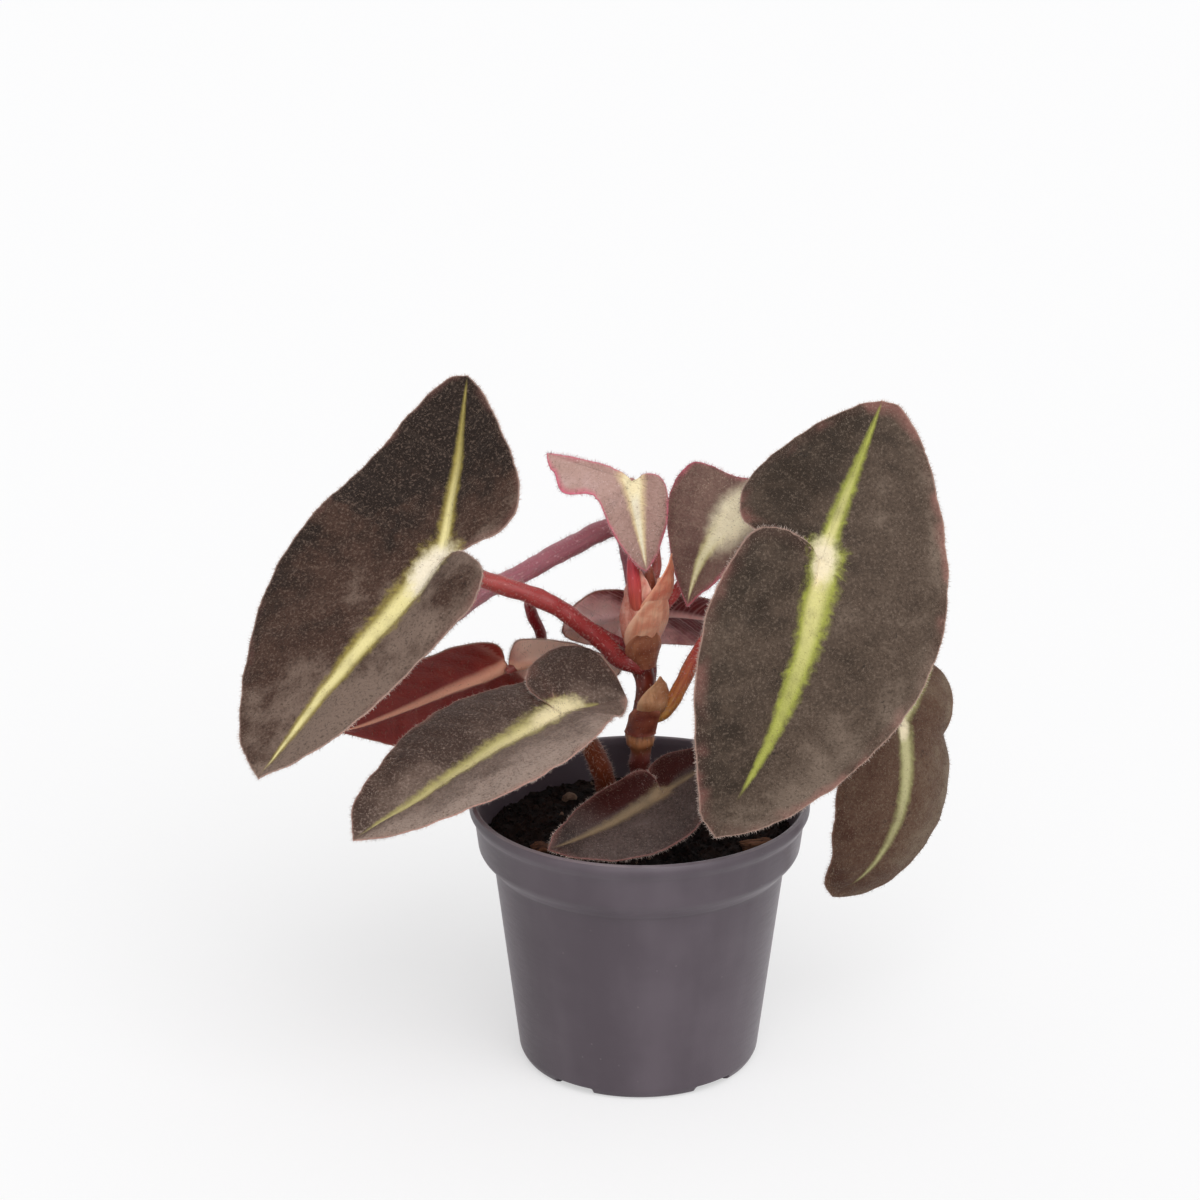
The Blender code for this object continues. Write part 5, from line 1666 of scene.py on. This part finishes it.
def make_soil(perlite):
    """The plug of soil, with a crumbly top and loose crumbs on it."""
    angles = np.linspace(0, 2 * math.pi, SOIL_SEGMENTS, endpoint=False)
    radii = SOIL_RADIUS * np.arange(1, SOIL_RINGS + 1) / SOIL_RINGS
    grid = np.array([(0, 0)] + [(r * math.cos(a), r * math.sin(a)) for r in radii for a in angles])
    flat = np.column_stack([grid, np.zeros(len(grid))])
    height = soil_height(*grid.T)
    for size, (depth, seed) in SOIL_LUMPS.items():
        height = height + depth * smooth_noise(flat, size, seed)
    top = np.column_stack([grid, height])
    side = [(radius - SOIL_GAP, max(z, SOIL_FOOT)) for radius, z in POT_INSIDE[5:]]
    points = [tuple(p) for p in top]
    for radius, z in side:
        points += ring(radius, angles, z)
    points.append((0, 0, side[-1][1]))
    faces = [(face[0], *face[:0:-1]) for face in lathe_faces(SOIL_RINGS + len(side), SOIL_SEGMENTS)]
    dark = make_soil_material("soil_dark", (13, 8, 7), (44, 29, 22))
    soil = add_mesh("potting_soil", points, faces, materials=[dark], sharp=80)
    bed = add_mesh("bed", top, [face for face in faces if max(face) < len(top)], closed=False)
    brown = make_soil_material("crumb_brown", (17, 10, 8), (50, 33, 25))
    sorts = [
        ("coarse", 5, brown, {"Density": 2.6e5, "Size": 0.0006, "Roundness": 2}),
        ("fine", 6, dark, {"Density": 5.5e5, "Size": 0.00038, "Roundness": 1}),
        ("white", 7, perlite, {"Density": 4e3, "Size": 0.0005, "Roundness": 2}),
    ]
    crumbs = [grow(name, bed, CRUMBS, seed, material, sizes) for name, seed, material, sizes in sorts]
    remove(bed)
    crumbs = joined("soil_crumbs", crumbs)
    settle(soil, "soil", "soil")
    settle(crumbs, "soil")


def make_chip(name, slot, material):
    """A rough chip with worn edges, which lies on the soil."""
    x, y, length, width, thickness, turn = CHIPS[name]
    shape = bmesh.new()
    bmesh.ops.create_icosphere(shape, subdivisions=5, radius=0.5)
    ball = np.array([v.co for v in shape.verts])
    faces = [tuple(v.index for v in face.verts) for face in shape.faces]
    shape.free()
    waved = np.sin(ball @ [9, 5, 0] + 2 * x) + np.sin(ball @ [0, -7, 8] + y)
    rough = 1 + CHIP_ROUGHNESS * waved + 0.05 * smooth_noise(ball, 0.16, 21)
    rough += 0.03 * smooth_noise(ball, 0.07, 22)
    body = np.sign(ball) * np.abs(2 * ball) ** CHIP_SQUARENESS / 2 * rough[:, None]
    body *= [length, width, thickness]
    layers = 0.06 * np.sin(ball[:, 2] * 34 + 3 * ball[:, 0])
    body[:, :2] *= (1 + layers)[:, None]
    spin = math.radians(turn)
    turn_flat = np.array([[math.cos(spin), math.sin(spin)], [-math.sin(spin), math.cos(spin)]])
    body[:, :2] = body[:, :2] @ turn_flat + [x, y]
    body[:, 2] += np.max(soil_height(body[:, 0], body[:, 1]) - body[:, 2]) - CHIP_SINK
    settle(add_mesh("loose_" + name, body, faces, materials=[material], sharp=180), slot, name)


# ------------------------------------------------------------------------------------------------- stage


def make_floor():
    """A pale floor that keeps the shadows."""
    corners = [(-1, -1, 0), (1, -1, 0), (1, 1, 0), (-1, 1, 0)]
    mesh = bpy.data.meshes.new("floor")
    mesh.from_pydata([tuple(FLOOR_SIZE * part for part in corner) for corner in corners], [], [(0, 1, 2, 3)])
    material = bpy.data.materials.new("floor_white")
    material.use_nodes = True
    tree = material.node_tree
    tree.nodes.remove(tree.nodes["Principled BSDF"])
    seen = field(tree, "ShaderNodeLightPath", output="Is Camera Ray")
    plain = field(tree, "ShaderNodeBsdfDiffuse", {"Color": (0.80, 0.80, 0.80, 1)})
    bright = field(tree, "ShaderNodeBsdfDiffuse", {"Color": (0.50, 0.50, 0.505, 1)})
    glow = field(tree, "ShaderNodeEmission", {"Color": (1, 1, 1, 1), "Strength": 0.512})
    shown = field(tree, "ShaderNodeAddShader", {0: bright, 1: glow})
    fill(tree.nodes["Material Output"].inputs["Surface"],
         field(tree, "ShaderNodeMixShader", {0: seen, 1: plain, 2: shown}))
    mesh.materials.append(material)
    floor = new_object("floor", mesh)


def make_lights():
    """Soft daylight from above and white all round, which is brighter to look at than the light it gives."""
    world = bpy.data.worlds.new("studio")
    bpy.context.scene.world = world
    world.use_nodes = True
    rays = put(world.node_tree, "ShaderNodeLightPath").outputs
    white = at_least(Field(rays["Is Camera Ray"]), Field(rays["Is Glossy Ray"]))
    white = at_least(white, Field(rays["Is Transmission Ray"]))
    background = world.node_tree.nodes["Background"].inputs
    fill(background["Color"], (1, 1, 1, 1))
    fill(background["Strength"], 0.55 + white * 0.45)
    for name, (strength, angle, turn) in LAMPS.items():
        light = bpy.data.lights.new(name, "SUN")
        light.energy = strength
        light.angle = math.radians(angle)
        new_object(name, light).rotation_euler = [math.radians(part) for part in turn]


def make_camera():
    """A camera in front of the pot, a little above it."""
    data = bpy.data.cameras.new("camera")
    data.lens = CAMERA_LENS
    data.sensor_width = 36
    camera = new_object("camera", data)
    camera.location = CAMERA_PLACE
    camera.rotation_euler = (math.radians(90 - CAMERA_PITCH), 0, math.radians(CAMERA_TURN))
    bpy.context.scene.camera = camera
    bpy.context.scene.view_settings.view_transform = "Standard"


# ----------------------------------------------------------------------------------------------- assembly


def build():
    """Makes every piece. Each has a seed of its own for its random draws."""
    remove(*[obj for obj in bpy.data.objects if obj.name in ("Cube", "Light", "Camera")])
    make_camera()
    make_floor()
    make_lights()
    bark, perlite = make_bark_material(), make_perlite_material()
    make_pot()
    make_soil(perlite)
    down = make_hair_material("hair_pale", (160, 136, 118))
    rosy = make_hair_material("hair_rosy", (230, 208, 196))
    young = make_hair_material("hair_young", (222, 176, 176))
    for number, (name, leaf) in enumerate(LEAVES.items()):
        make_blade(name, leaf, 1000 * (number + 1), down, young if leaf.tint.young > 0.5 else rosy)
    for number, name in enumerate(PETIOLES):
        make_petiole(name, 300 + 10 * number, rosy)
    make_stem(rosy)
    for number, name in enumerate(BRACTS):
        make_bract(name, 500 + 10 * number, rosy)
    make_bud()
    for name in CHIPS:
        slot, material = ("bark", bark) if name.startswith("bark") else ("perlite", perlite)
        make_chip(name, slot, material)


build()
